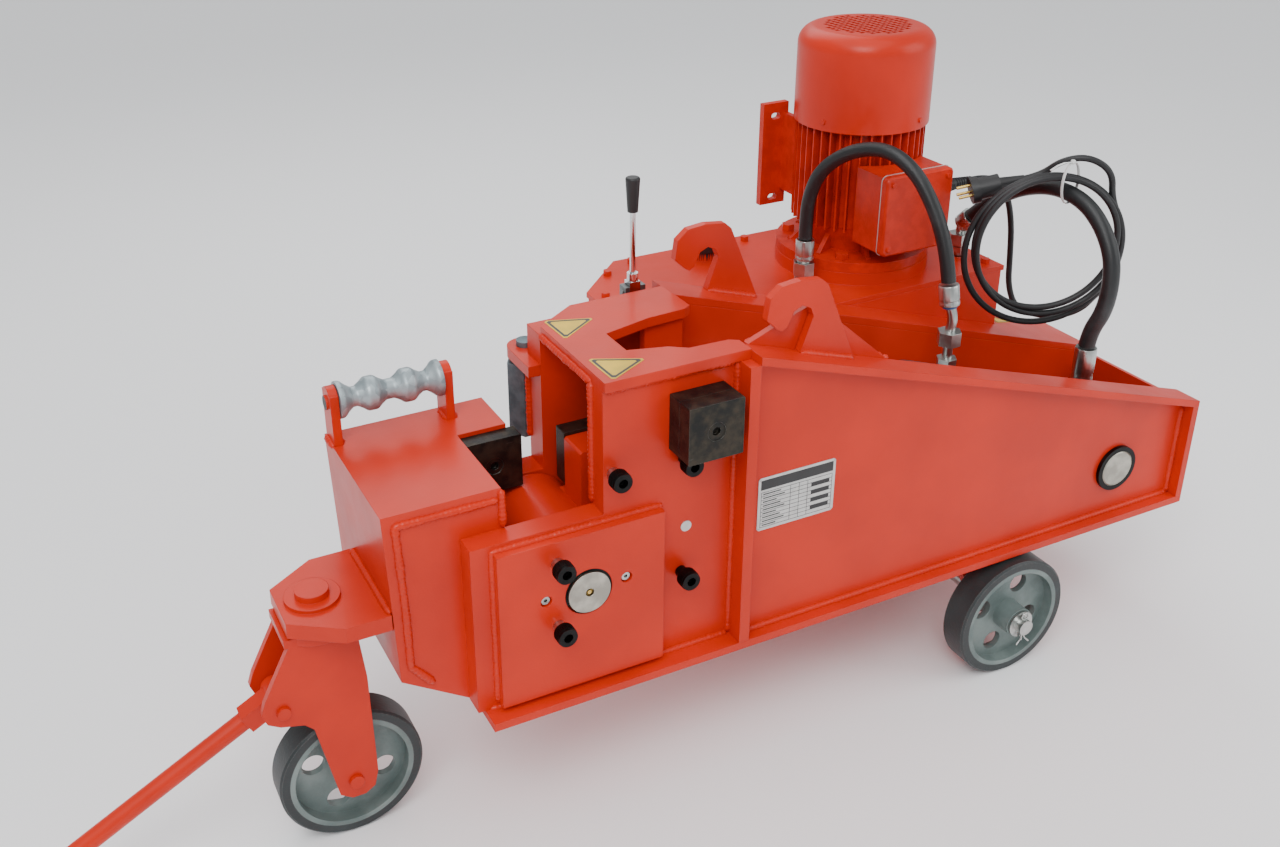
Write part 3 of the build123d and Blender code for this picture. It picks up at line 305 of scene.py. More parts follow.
def red_enamel(paint):
    """Sprayed orange-red enamel: orange peel, thin sags, edges rubbed to primer, and a painted
    highlight along its edges.
    """
    finish = Finish("red_enamel")
    cloud = finish.noise(7.0, 4.0)
    peel = finish.noise(420.0, 2.0)
    sag = finish.noise(38.0, 3.0, stretch=(1.0, 1.0, 0.45))
    specks = finish.noise(160.0, 5.0)
    base = tuple(paint.enamel)
    colour = finish.blend(cloud.step(0.3, 0.7), shade(base, 0.90), shade(base, 1.07))
    edge = finish.edges(0.0011)
    rubbed = (edge + specks * 0.35).step(0.30, 0.52) * paint.wear
    # Painted highlight: the enamel is made paler along every edge, where light would catch the
    # rounded edges.
    colour = finish.blend(edge.step(0.05, 0.5) * 0.35, colour, shade(base, 1.25))
    colour = finish.blend(rubbed, colour, (0.28, 0.09, 0.06))
    rough = finish.noise(22.0, 4.0) * 0.16 + (paint.enamel_rough - 0.08) + rubbed * 0.2
    normal = finish.bump(peel * 0.35 + sag * 0.65, 0.0009, 0.42, soften=0.0014)
    return finish.surface(Base_Color=colour, Roughness=rough, Normal=normal,
                          Coat_Weight=0.06, Coat_Roughness=0.12,
                          Specular_IOR_Level=0.24)


def rough_enamel(paint):
    """The same enamel over a sand casting: a coarser skin."""
    finish = Finish("cast_enamel")
    skin = finish.noise(260.0, 4.0)
    lumps = finish.noise(60.0, 2.0)
    base = tuple(paint.enamel)
    colour = finish.blend(lumps.step(0.3, 0.7), shade(base, 0.86), shade(base, 1.05))
    normal = finish.bump(skin * 0.5 + lumps * 0.5, 0.0012, 0.6, soften=0.0012)
    return finish.surface(Base_Color=colour, Normal=normal, Coat_Weight=0.06,
                          Specular_IOR_Level=0.24,
                          Roughness=skin * 0.2 + (paint.enamel_rough - 0.05),
                          Coat_Roughness=0.15)


def ground_steel(name, base, rough, lines):
    """Machined steel with its grinding lines, an oily film and paler edges."""
    finish = Finish(name)
    film = finish.noise(45.0, 5.0)
    stretch = (1.0, 9.0, 9.0) if lines == "x" else (9.0, 9.0, 1.0)
    scratch = finish.noise(240.0, 3.0, stretch=stretch)
    colour = finish.blend(film.step(0.35, 0.7), shade(base, 0.72), shade(base, 1.12))
    edge = finish.edges(0.0008).step(0.03, 0.4)
    colour = finish.blend(edge * 0.7, colour, shade(base, 1.7))
    return finish.surface(
        Base_Color=colour, Metallic=1.0, Roughness=film * 0.2 + scratch * 0.15 + rough,
        Normal=finish.bump(scratch, 0.0003, 0.35, soften=0.0008))


def blade_steel():
    """Hardened blades: near black scale with rust bloom, bright scuffs on the edges."""
    finish = Finish("blade_steel")
    bloom = finish.noise(55.0, 6.0)
    scale = finish.noise(320.0, 5.0)
    scuff = finish.noise(90.0, 3.0, stretch=(0.25, 1.0, 3.0))
    colour = finish.blend(bloom.step(0.35, 0.7), (0.016, 0.016, 0.015), (0.050, 0.040, 0.028))
    edge = finish.edges(0.0012)
    bright = (edge.step(0.05, 0.5) + (scuff - 0.66).step(0.0, 0.1) * 0.5)
    colour = finish.blend(bright.step(0.25, 0.9), colour, (0.17, 0.165, 0.15))
    return finish.surface(Base_Color=colour, Metallic=0.75,
                          Roughness=scale * 0.25 + bloom * 0.2 + 0.22,
                          Normal=finish.bump(scale, 0.0006, 0.5, soften=0.0009))


def galvanised():
    """Zinc dipped roller: blue-grey spangle, dull, with darker smears."""
    finish = Finish("galvanised")
    spangle = finish.node("ShaderNodeTexVoronoi", output="Color", Vector=finish.place,
                          Scale=95.0)
    spread = finish.node("ShaderNodeSeparateColor", output="Red", Color=spangle)
    smear = finish.noise(24.0, 5.0)
    colour = finish.blend(spread, (0.26, 0.31, 0.33), (0.42, 0.48, 0.50))
    colour = finish.blend(smear.step(0.55, 0.75) * 0.5, colour, (0.15, 0.18, 0.19))
    return finish.surface(Base_Color=colour, Metallic=0.55, Roughness=smear * 0.2 + 0.34,
                          Normal=finish.bump(smear + spread * 0.15, 0.0006, 0.4, 0.0012))


def hold_down_steel():
    """Dark blue-grey hexagon: zinc that has weathered."""
    finish = Finish("weathered_zinc")
    stain = finish.noise(40.0, 6.0)
    pits = finish.noise(300.0, 4.0)
    colour = finish.blend(stain.step(0.3, 0.7), (0.075, 0.115, 0.130), (0.15, 0.21, 0.235))
    edge = finish.edges(0.0012).step(0.05, 0.5)
    colour = finish.blend(edge * 0.6, colour, (0.30, 0.35, 0.36))
    return finish.surface(Base_Color=colour, Metallic=0.6, Roughness=pits * 0.2 + 0.36,
                          Normal=finish.bump(pits, 0.0007, 0.5, soften=0.0010))


def cast_grey():
    """Cast wheel centres: grey-green iron with a sandy skin and a painted highlight on its edges.
    """
    finish = Finish("cast_grey")
    skin = finish.noise(230.0, 5.0)
    dust = finish.noise(16.0, 4.0)
    colour = finish.blend(dust.step(0.35, 0.7), (0.13, 0.170, 0.163), (0.215, 0.262, 0.250))
    # Painted highlight: the iron is made paler along the edges, where light would catch the rims.
    edge = finish.edges(0.0010).step(0.05, 0.6)
    colour = finish.blend(edge * 0.5, colour, (0.30, 0.33, 0.31))
    return finish.surface(Base_Color=colour, Metallic=0.35, Roughness=skin * 0.2 + 0.45,
                          Normal=finish.bump(skin, 0.0010, 0.6, soften=0.0012))


def rubber(name, base, per_metre, depth, scuffed=False):
    """Black rubber: fine grain, grey dust in the hollows, dull."""
    finish = Finish(name)
    grain = finish.noise(per_metre, 3.0)
    dust = finish.noise(14.0, 5.0)
    colour = finish.blend(dust.step(0.45, 0.8), base, shade(base, 2.4))
    if scuffed:
        edge = (finish.edges(0.0025) + grain * 0.3).step(0.18, 0.42)
        colour = finish.blend(edge * 0.8, colour, (0.13, 0.14, 0.135))
    return finish.surface(Base_Color=colour, Roughness=dust * 0.2 + 0.38,
                          Normal=finish.bump(grain, depth, 0.5))


def hose_cover():
    """Wrapped hydraulic hose: cloth marks along the cover."""
    finish = Finish("hose_cover")
    around = finish.node("ShaderNodeTexWave", {"bands_direction": "DIAGONAL"},
                         output="Fac", Vector=finish.place, Scale=230.0, Distortion=1.0)
    dust = finish.noise(20.0, 4.0)
    colour = finish.blend(dust.step(0.5, 0.8), (0.010, 0.011, 0.012), (0.032, 0.034, 0.036))
    return finish.surface(Base_Color=colour, Roughness=dust * 0.15 + 0.33,
                          Normal=finish.bump(around, 0.0003, 0.5))


def plated(name, base, rough, metal=1.0):
    """Bright plated steel with faint smears."""
    finish = Finish(name)
    smear = finish.noise(70.0, 4.0)
    colour = finish.blend(smear.step(0.3, 0.75), shade(base, 0.85), base)
    return finish.surface(Base_Color=colour, Metallic=metal, Roughness=smear * 0.12 + rough,
                          Normal=finish.bump(smear, 0.0002, 0.3, soften=0.0006))


def moulded(name, base, rough=0.38):
    """Moulded plastic: slight mould grain."""
    finish = Finish(name)
    grain = finish.noise(500.0, 2.0)
    tone = finish.noise(30.0, 3.0)
    colour = finish.blend(tone.step(0.3, 0.7), shade(base, 0.85), shade(base, 1.15))
    return finish.surface(Base_Color=colour, Roughness=tone * 0.12 + rough,
                          Normal=finish.bump(grain, 0.0003, 0.4, soften=0.0006))


FINISHES = {}


def make_finishes(paint):
    """All the finishes, by name, made once."""
    FINISHES.update(
        enamel=red_enamel(paint), cast_enamel=rough_enamel(paint),
        blade=blade_steel(), galvanised=galvanised(), hold_down=hold_down_steel(),
        cast_grey=cast_grey(), hose=hose_cover(),
        ground=ground_steel("ground_steel", (0.46, 0.44, 0.38), 0.20, "x"),
        machined=ground_steel("machined_steel", (0.24, 0.25, 0.25), 0.28, "z"),
        oxide=ground_steel("black_oxide", (0.022, 0.022, 0.022), 0.26, "x"),
        tyre=rubber("tyre_rubber", (0.016, 0.021, 0.022), 240.0, 0.0008, True),
        cable=rubber("cable_rubber", (0.009, 0.009, 0.010), 500.0, 0.0002),
        zinc=plated("zinc_plate", (0.55, 0.57, 0.55), 0.24),
        chrome=plated("hard_chrome", (0.72, 0.73, 0.74), 0.07),
        bronze=plated("bearing_bronze", (0.52, 0.33, 0.12), 0.30),
        brass=plated("brass", (0.70, 0.47, 0.14), 0.22),
        black=moulded("black_plastic", (0.012, 0.012, 0.013)),
        blue=moulded("blue_sleeve", (0.03, 0.11, 0.32)),
        white=moulded("white_nylon", (0.72, 0.73, 0.72)),
        sticker=moulded("sticker_yellow", tuple(paint.sticker), 0.30),
        ink=moulded("printing_ink", (0.016, 0.016, 0.017), 0.35),
        label=plated("label_metal", (0.62, 0.62, 0.60), 0.34, 0.55),
    )


NODE_FINISH = {
    "fixed_blade": "blade", "moving_blade": "blade", "spare_blades": "blade",
    "pivot_pin": "ground", "pivot_retainers": "oxide", "pivot_bushes": "bronze",
    "side_screws": "oxide", "rear_pin": "ground", "bar_roller": "galvanised",
    "hold_down_screw": "hold_down", "cylinder_barrel": "machined",
    "cylinder_head": "machined", "barrel_fittings": "zinc", "tank_fittings": "zinc",
    "piston_rod": "chrome", "control_lever": "chrome", "lever_knob": "black",
    "power_plug": "black", "cable_gland": "black", "rotor_shaft": "ground",
    "motor_fan": "black", "gear_pump": "machined", "control_valve": "machined",
    "front_wheel": "cast_grey", "near_rear_wheel": "cast_grey",
    "far_rear_wheel": "cast_grey", "front_tyre": "tyre", "near_rear_tyre": "tyre",
    "far_rear_tyre": "tyre", "pressure_hose": "hose", "return_hose": "hose",
    "power_cable": "cable", "cable_coil": "cable", "motor_end_shield": "cast_enamel",
    "motor_housing": "cast_enamel", "motor_feet": "cast_enamel", "rear_axle": "zinc",
    "terminal_box": "cast_enamel", "terminal_cover": "cast_enamel",
}


def add_piece(name, mesh, body):
    """Links a mesh as a piece and attaches it to its body."""
    piece = bpy.data.objects.new(name, mesh)
    bpy.context.scene.collection.objects.link(piece)
    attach(piece, body)


def solid_mesh(name, rings, closed=True):
    """Closed mesh through rings of equal count, each a list of points."""
    count = len(rings[0])
    points = [tuple(p) for ring in rings for p in ring]
    faces = []
    for k in range(len(rings) - 1):
        for i in range(count):
            j = (i + 1) % count
            faces.append((k * count + i, k * count + j, (k + 1) * count + j,
                          (k + 1) * count + i))
    if closed:
        faces.append(tuple(reversed(range(count))))
        faces.append(tuple(range((len(rings) - 1) * count, len(rings) * count)))
    mesh = bpy.data.meshes.new(name)
    mesh.from_pydata(points, [], faces)
    mesh.update()
    return mesh


def frame_axes(axis):
    """Two unit vectors square to an axis."""
    axis = Vector(axis).normalized()
    side = axis.cross(Vector((0, 0, 1)))
    if side.length < 0.1:
        side = axis.cross(Vector((0, 1, 0)))
    side.normalize()
    return side, axis.cross(side)


def turned(name, start, axis, profile, count=48, shape=None, closed=True):
    """Turned mesh along axis from start: profile is (distance, radius) in metres."""
    side, up = frame_axes(axis)
    axis = Vector(axis).normalized()
    rings = []
    for distance, radius in profile:
        ring = []
        for i in range(count):
            turn = 2 * pi * i / count
            r = radius * (shape(turn) if shape else 1.0)
            ring.append(Vector(start) + axis * distance
                        + side * r * cos(turn) + up * r * sin(turn))
        rings.append(ring)
    return solid_mesh(name, rings, closed)


def joined(name, meshes):
    """One mesh from several, with their materials."""
    whole = bmesh.new()
    slots = []
    for mesh in meshes:
        first = len(whole.faces)
        whole.from_mesh(mesh)
        whole.faces.ensure_lookup_table()
        for face in whole.faces[first:]:
            used = mesh.materials[face.material_index] if mesh.materials else None
            if used not in slots:
                slots.append(used)
            face.material_index = slots.index(used)
    made = bpy.data.meshes.new(name)
    whole.to_mesh(made)
    whole.free()
    for used in slots:
        if used:
            made.materials.append(used)
    return made


def smooth(mesh, angle=35.0):
    """Smooth shading with sharp edges above an angle."""
    mesh.shade_smooth()
    mesh.set_sharp_from_angle(angle=radians(angle))
    return mesh


def route_curve(name, points, radius, finish):
    """Cord as one NURBS spline through its control points."""
    data = bpy.data.curves.new(name, "CURVE")
    data.dimensions = "3D"
    data.bevel_depth = radius
    data.bevel_resolution = 5
    data.resolution_u = 10
    data.use_fill_caps = True
    spline = data.splines.new("NURBS")
    spline.points.add(len(points) - 1)
    for point, place in zip(spline.points, points):
        point.co = (*place, 1.0)
    spline.order_u = 3
    spline.use_endpoint_u = True
    data.materials.append(FINISHES[finish])
    piece = bpy.data.objects.new(name, data)
    bpy.context.scene.collection.objects.link(piece)
    return piece


def spline_points(piece):
    """Points along a curve piece's own line."""
    line = piece.data.copy()
    line.bevel_depth = 0.0
    holder = bpy.data.objects.new("line", line)
    mesh = bpy.data.meshes.new_from_object(holder)
    points = [v.co.copy() for v in mesh.vertices]
    bpy.data.objects.remove(holder)
    return points


def length_of(points):
    """Length of a line through points."""
    return sum((b - a).length for a, b in zip(points, points[1:]))


# ---- stage -----------------------------------------------------------------------------
def area_light(name, place, target, size, power):
    """Square soft light aimed at a point."""
    data = bpy.data.lights.new(name, "AREA")
    data.shape = "SQUARE"
    data.size = size
    data.energy = power
    lamp = bpy.data.objects.new(name, data)
    bpy.context.scene.collection.objects.link(lamp)
    lamp.location = place
    lamp.rotation_euler = (Vector(target) - Vector(place)).to_track_quat("-Z", "Y").to_euler()


HALF_FLOOR = 14.0
FLOOR_GAP = 0.0005
SKY_COLOUR = (0.95, 0.975, 1.0, 1.0)
BACKDROP = (0.93, 0.935, 0.94, 1.0)
LIGHT_TARGET = (120, 170, 220)
# Name, place, edge in metres and share of the key light's power.
AREA_LIGHTS = (("key_light", (-1500, -1700, 2700), 1.7, 1.0),
               ("side_light", (2300, -1300, 1500), 1.8, 0.42),
               ("back_light", (400, 2300, 2500), 2.2, 0.55))
CAMERA_PLACE = (-857.96, -1253.9, 1187.0)
CAMERA_TURN, CAMERA_DIP, CAMERA_ROLL = -0.434, 0.436, -0.022
CAMERA_LENS = 37.4
CAMERA_SHIFT = (0.061, -0.070)


def lay_floor(scene, look):
    """Pale paper floor under the lowest point of the frame."""
    floor = bpy.data.meshes.new("floor")
    floor.from_pydata([(x * HALF_FLOOR, y * HALF_FLOOR, 0)
                       for x, y in ((-1, -1), (1, -1), (1, 1), (-1, 1))], [], [(0, 1, 2, 3)])
    ground = bpy.data.objects.new("floor", floor)
    scene.collection.objects.link(ground)
    ground.location.z = CAD_BOX[0].z - FLOOR_GAP
    paper = Finish("studio_paper")
    base = tuple(look.floor)
    tint = paper.blend(paper.noise(1.4, 2.0), shade(base, 0.985), base)
    floor.materials.append(paper.surface(Base_Color=tint, Roughness=0.75,
                                         Specular_IOR_Level=0.2))


def hang_sky(scene, look):
    """Soft light from all round, with a plain pale backdrop for the camera alone."""
    world = bpy.data.worlds.new("studio")
    world.use_nodes = True
    nodes, link = world.node_tree.nodes, world.node_tree.links.new
    sky, backdrop = nodes["Background"], nodes.new("ShaderNodeBackground")
    sky.inputs["Color"].default_value = SKY_COLOUR
    sky.inputs["Strength"].default_value = look.sky
    backdrop.inputs["Color"].default_value = BACKDROP
    seen, either = nodes.new("ShaderNodeLightPath"), nodes.new("ShaderNodeMixShader")
    link(seen.outputs["Is Camera Ray"], either.inputs["Fac"])
    link(sky.outputs["Background"], either.inputs[1])
    link(backdrop.outputs["Background"], either.inputs[2])
    link(either.outputs["Shader"], nodes["World Output"].inputs["Surface"])
    scene.world = world


def hang_ceiling(scene, look):
    """Even light from above."""
    data = bpy.data.lights.new("ceiling", "SUN")
    data.angle = radians(70)
    data.energy = look.ceiling
    lamp = bpy.data.objects.new("ceiling", data)
    lamp.rotation_euler = (radians(12), radians(-14), 0)
    scene.collection.objects.link(lamp)


def set_camera(scene):
    """Camera in front of the near side, above the machine."""
    data = bpy.data.cameras.new("camera")
    camera = bpy.data.objects.new("camera", data)
    scene.collection.objects.link(camera)
    data.lens = CAMERA_LENS
    data.sensor_width = 36.0
    data.shift_x, data.shift_y = CAMERA_SHIFT
    data.clip_start = 0.05
    data.clip_end = 60.0
    camera.matrix_world = (
        Matrix.Translation(at(*CAMERA_PLACE)) @ Matrix.Rotation(CAMERA_TURN, 4, "Z")
        @ Matrix.Rotation(pi / 2 - CAMERA_DIP, 4, "X")
        @ Matrix.Rotation(CAMERA_ROLL, 4, "Z"))
    scene.camera = camera


class CUTTER_OT_stage(bpy.types.Operator):
    """Floor, studio light and camera"""

    bl_idname = "cutter.stage"
    bl_label = "Stage"

    def execute(self, context):
        look = context.scene.cutter_stage
        lay_floor(context.scene, look)
        hang_sky(context.scene, look)
        for name, place, size, share in AREA_LIGHTS:
            area_light(name, at(*place), at(*LIGHT_TARGET), size, look.key * share)
        hang_ceiling(context.scene, look)
        set_camera(context.scene)
        return {"FINISHED"}


# ---- hoses and cord --------------------------------------------------------------------
COIL_TOP = (648.0, 160.0, 542.0)
COIL_R = 117.0
COIL_SPREAD = 9.0
COIL_SHIFT = -20.0
COIL_TURN = radians(-25)
COIL_FROM, COIL_TO = radians(-32), radians(40)
COIL_TURNS = 3
COIL_SWAY = 8.0


def coil_point(turn, radius, offset):
    """Point of a turn that hangs from the coil's top, from its angle, radius and offset."""
    along = Vector((cos(COIL_TURN), sin(COIL_TURN), 0.0))
    across = Vector((-sin(COIL_TURN), cos(COIL_TURN), 0.0))
    centre = Vector(COIL_TOP) + Vector((0, 0, -radius)) + along * COIL_SHIFT
    return (centre + along * radius * cos(turn) + Vector((0, 0, radius * sin(turn)))
            + across * offset)


def cord_route():
    """Control points of the power cord: lead, three turns that differ, and the tail."""
    points = [Vector(p) for p in LEAD_ROUTE]
    sweep = COIL_TO - COIL_FROM + 2 * pi * COIL_TURNS
    total = round(14 * sweep / (2 * pi))
    for k in range(total + 1):
        turn = COIL_FROM + sweep * k / total
        radius = COIL_R + COIL_SPREAD * cos(turn / 3 + 0.9)
        points.append(coil_point(turn, radius, COIL_SWAY * sin(turn / 3 + 2.2)))
    points += [Vector(p) for p in TAIL_ROUTE]
    return [at(*p) for p in points]


class CUTTER_OT_cords(bpy.types.Operator):
    """Two hydraulic hoses and the power cord with its coil and plug"""

    bl_idname = "cutter.cords"
    bl_label = "Hoses and cord"

    def execute(self, context):
        size = context.scene.cutter_detail
        hoses = (("pressure_hose_line", "pressure_hose", PRESSURE_ROUTE,
                  size.pressure_hose),
                 ("return_hose_line", "return_hose", RETURN_ROUTE, size.return_hose))
        for name, node, route, width in hoses:
            places = [at(*p) for p in route]
            hose = route_curve(name, places, width / 2, "hose")
            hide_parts(node)
            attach(hose, "frame")
            length_of(spline_points(hose))
        places = cord_route()
        lead = route_curve("power_cord", places, size.cable / 2, "cable")
        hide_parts("power_cable", "cable_coil")
        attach(lead, "frame")
        length_of(spline_points(lead))
        return {"FINISHED"}


# ---- finishes of the frame's own pieces ------------------------------------------------
def paint_where(node, finish, test):
    """Gives a second finish to the faces of a node whose middle passes a test."""
    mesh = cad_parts[node].data
    mesh.materials.append(FINISHES[finish])
    index = len(mesh.materials) - 1
    for face in mesh.polygons:
        middle = (face.center - BASE_CORNER) / MM - Vector((BASE_FRONT, 0, 0))
        if test(middle):
            face.material_index = index


class CUTTER_OT_finishes(bpy.types.Operator):
    """Paint and metal of every piece of the frame"""

    bl_idname = "cutter.finishes"
    bl_label = "Finishes"

    def execute(self, context):
        for name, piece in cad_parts.items():
            finish = FINISHES[NODE_FINISH.get(name, "enamel")]
            piece.data.materials.clear()
            piece.data.materials.append(finish)
            for face in piece.data.polygons:
                face.material_index = 0
        paint_where("tank_lid", "black", lambda p: p.z > 352 and p.x < 330)
        paint_where("power_plug", "brass", in_pins)
        paint_where("rear_pin", "oxide", lambda p: off_axis(p, REAR_PIN) > 30.5)
        paint_where("side_screws", "zinc", lambda p: -365 < p.x < -129 and p.y > 15)
        paint_where("side_screws", "label", lambda p: off_axis(p, BLANK_PLUG) < 9)
        paint_where("pivot_pin", "brass", lambda p: off_axis(p, PIVOT) < 5.9 and p.y < 40)
        paint_where("roller_supports", "oxide",
                    lambda p: Vector((p.y - ROLLER[0], p.z - ROLLER[1])).length < 10.5
                    and not ROLLER[2] + 0.5 < p.x < ROLLER[3] - 0.5)
        paint_where("piston_rod", "ground", lambda p: off_axis(p, ROD_PIN) < 36)
        return {"FINISHED"}


def off_axis(place, axis):
    """Distance of a place from an axis across the machine, given as (x, z)."""
    return Vector((place.x - axis[0], place.z - axis[1])).length


def in_pins(place):
    """Whether a place of the plug belongs to its pins."""
    start = Vector(TAIL_ROUTE[-1])
    along = (start - Vector(TAIL_ROUTE[-2])).normalized()
    off = place - start
    reach = off.dot(along)
    return reach > PLUG_FACE and (off - along * reach).length < 12.5


# ---- weld beads ------------------------------------------------------------------------
def node_group(name, inputs):
    """Geometry Nodes tree that takes geometry, the named inputs and a material."""
    tree = bpy.data.node_groups.new(name, "GeometryNodeTree")
    sockets = (("Geometry", "Geometry"), *inputs, ("Material", "Material"))
    for label, kind in sockets:
        tree.interface.new_socket(label, in_out="INPUT", socket_type="NodeSocket" + kind)
    tree.interface.new_socket("Geometry", in_out="OUTPUT",
                              socket_type="NodeSocketGeometry")
    return tree, tree.nodes.new("NodeGroupInput")


def end_group(tree, given, made):
    """Ends a tree: its instances made real, in the material that it was given."""
    new, link = tree.nodes.new, tree.links.new
    real, paint = new("GeometryNodeRealizeInstances"), new("GeometryNodeSetMaterial")
    link(made, real.inputs["Geometry"])
    link(real.outputs["Geometry"], paint.inputs["Geometry"])
    link(given.outputs["Material"], paint.inputs["Material"])
    link(paint.outputs["Geometry"], new("NodeGroupOutput").inputs["Geometry"])


def bead_tree():
    """Geometry Nodes: a rippled bead along every edge, sized by its inputs."""
    tree, given = node_group("weld_bead", (("Radius", "Float"), ("Ripple", "Float")))
    new, link = tree.nodes.new, tree.links.new

    def math(operation, first, second):
        node = new("ShaderNodeMath")
        node.operation = operation
        for pin, value in zip(node.inputs, (first, second)):
            if isinstance(value, (int, float)):
                pin.default_value = value
            elif value is not None:
                link(value, pin)
        return node.outputs[0]

    line = new("GeometryNodeMeshToCurve")
    link(given.outputs["Geometry"], line.inputs["Mesh"])
    split = new("GeometryNodeResampleCurve")
    split.mode = "LENGTH"
    link(line.outputs["Curve"], split.inputs["Curve"])
    link(math("MULTIPLY", given.outputs["Ripple"], 0.34), split.inputs["Length"])
    length = new("GeometryNodeSplineParameter")
    wave = math("SINE", math("DIVIDE", math("MULTIPLY", length.outputs["Length"], 2 * pi),
                             given.outputs["Ripple"]), None)
    drift = new("ShaderNodeTexNoise")
    drift.inputs["Scale"].default_value = 90.0
    swell = math("ADD", math("MULTIPLY", wave, 0.12),
                 math("MULTIPLY", drift.outputs["Fac"], 0.6))
    whole = new("GeometryNodeSplineLength")
    rest = math("SUBTRACT", whole.outputs["Length"], length.outputs["Length"])
    end = math("DIVIDE", math("MINIMUM", length.outputs["Length"], rest),
               given.outputs["Radius"])
    taper = math("POWER", math("MINIMUM", math("ADD", end, 0.02), 1.0), 0.5)
    radius = math("MULTIPLY", math("MULTIPLY", math("ADD", swell, 0.66), taper),
                  given.outputs["Radius"])
    widths = new("GeometryNodeSetCurveRadius")
    link(split.outputs["Curve"], widths.inputs["Curve"])
    link(radius, widths.inputs["Radius"])
    ring = new("GeometryNodeCurvePrimitiveCircle")
    ring.inputs["Resolution"].default_value = 8
    ring.inputs["Radius"].default_value = 1.0
    tube = new("GeometryNodeCurveToMesh")
    link(widths.outputs["Curve"], tube.inputs["Curve"])
    link(ring.outputs["Curve"], tube.inputs["Profile Curve"])
    link(radius, tube.inputs["Scale"])
    tube.inputs["Fill Caps"].default_value = True
    shiny = new("GeometryNodeSetShadeSmooth")
    link(tube.outputs["Mesh"], shiny.inputs["Geometry"])
    end_group(tree, given, shiny.outputs["Geometry"])
    return tree


def baked(name, mesh, tree, values):
    """Mesh that a node tree makes of another mesh, with the modifier gone."""
    holder = bpy.data.objects.new(name + "_lines", mesh)
    bpy.context.scene.collection.objects.link(holder)
    modifier = holder.modifiers.new(tree.name, "NODES")
    modifier.node_group = tree
    for item in tree.interface.items_tree:
        if item.in_out == "INPUT" and item.name in values:
            modifier[item.identifier] = values[item.name]
    bpy.context.view_layer.update()
    made = bpy.data.meshes.new_from_object(
        holder.evaluated_get(bpy.context.evaluated_depsgraph_get()))
    made.name = name
    bpy.data.objects.remove(holder)
    return made


def line_mesh(name, lines):
    """Edges only, one run of edges for each line of points, or a loose point."""
    points, edges = [], []
    for line in lines:
        first = len(points)
        points += [tuple(at(*p)) for p in line]
        edges += [(first + k, first + k + 1) for k in range(len(line) - 1)]
    mesh = bpy.data.meshes.new(name)
    mesh.from_pydata(points, edges, [])
    return mesh


def top_line(x):
    """Height of the rear body's top edge at a place behind the rib."""
    return RIB_HEIGHT + (REAR_HEIGHT - RIB_HEIGHT) * x / REAR_X


def frame_welds():
    """Seams of the welded body, as lines of points."""
    x0, x1, z0, z1 = CHEEK
    near, far = COLUMN_NEAR, COLUMN_FAR
    wall = WALL_NEAR_Y
    seams = [
        [(x0, near[0], z0), (x0, near[0], z1), (x1, near[0], z1), (x1, near[0], z0)],
        [(FRONT_X + 6, near[0], BASE_THICK), (-17, near[0], BASE_THICK)],
        [(-17, near[0], BASE_THICK), (-17, near[0], COLUMN_TOP)],
        [(1, wall, BASE_THICK + 1), (REAR_X - 14, wall, BASE_THICK + 1)],
        [(1, wall, BASE_THICK + 1), (1, wall, RIB_HEIGHT - 13)],
        [(2, wall, RIB_HEIGHT - 12), (REAR_X - 16, wall, top_line(REAR_X - 16) - 13)],
        [(REAR_X - 15, wall, BASE_THICK), (REAR_X - 15, wall, REAR_HEIGHT - 14)],
        [(COLUMN_FRONT, near[1], 264), (COLUMN_FRONT, near[1], COLUMN_TOP)],
        [(COLUMN_FRONT + 3, near[0], COLUMN_TOP), (-18, near[0], COLUMN_TOP)],
        [(COLUMN_FRONT, near[1], COLUMN_TOP), (COLUMN_FRONT, far[0], COLUMN_TOP)],
        [(COLUMN_FRONT, far[1], 264), (COLUMN_FRONT, far[1], 376)],
        [(-336, near[1], 262), (-336, near[1], 318)],
        [(-336, 211, 233), (-336, 211, 262)],
    ]
    front, rear, inner, outer, low, top = TANK
    corner = TANK_CORNER
    seams += [
        [(front, inner + 2, top - 1), (front, outer - corner, top - 1),
         (front + corner, outer, top - 1), (rear, outer, top - 1),
         (rear, inner + 2, top - 1)],
        [(front, outer - corner, low), (front, outer - corner, top)],
        [(front + corner, outer, low), (front + corner, outer, top)],
        [(rear, outer, low), (rear, outer, top)],
    ]
    for y in (33, 45, 268, 280):
        seams.append([(82, y, top_line(82)), (168, y, top_line(168))])
    seams.append([(237, 46, top_line(237)), (237, 56, top_line(237))])
    seams.append([(9, 56, top_line(9)), (236, 56, top_line(236))])
    for x in (-492, -480, -331, -320):
        seams.append([(x, 257, 320), (x, 291, 320)])
    return seams


def nose_welds():
    """Seams of the nose block and of the caster plate on it."""
    return [
        [(-340, 62, 304), (-476, 62, 304), (-471, 62, 180), (-470, 62, 92), (-440, 62, 56)],
        [(-490, 66, 179), (-490, 224, 179)],
        [(-488, 66, 155), (-488, 224, 155)],
        [(-388, 62, 18), (-388, 62, 262)],
    ]


class CUTTER_OT_welds(bpy.types.Operator):
    """Rippled fillet welds along the seams of the body"""

    bl_idname = "cutter.welds"
    bl_label = "Weld beads"

    def execute(self, context):
        size = context.scene.cutter_detail
        tree = bead_tree()
        groups = (("body_welds", frame_welds()), ("nose_welds", nose_welds()))
        for name, lines in groups:
            mesh = baked(name, line_mesh(name, lines), tree, {
                "Radius": size.bead, "Ripple": size.ripple,
                "Material": FINISHES["enamel"]})
            add_piece(name, mesh, "frame")
        return {"FINISHED"}


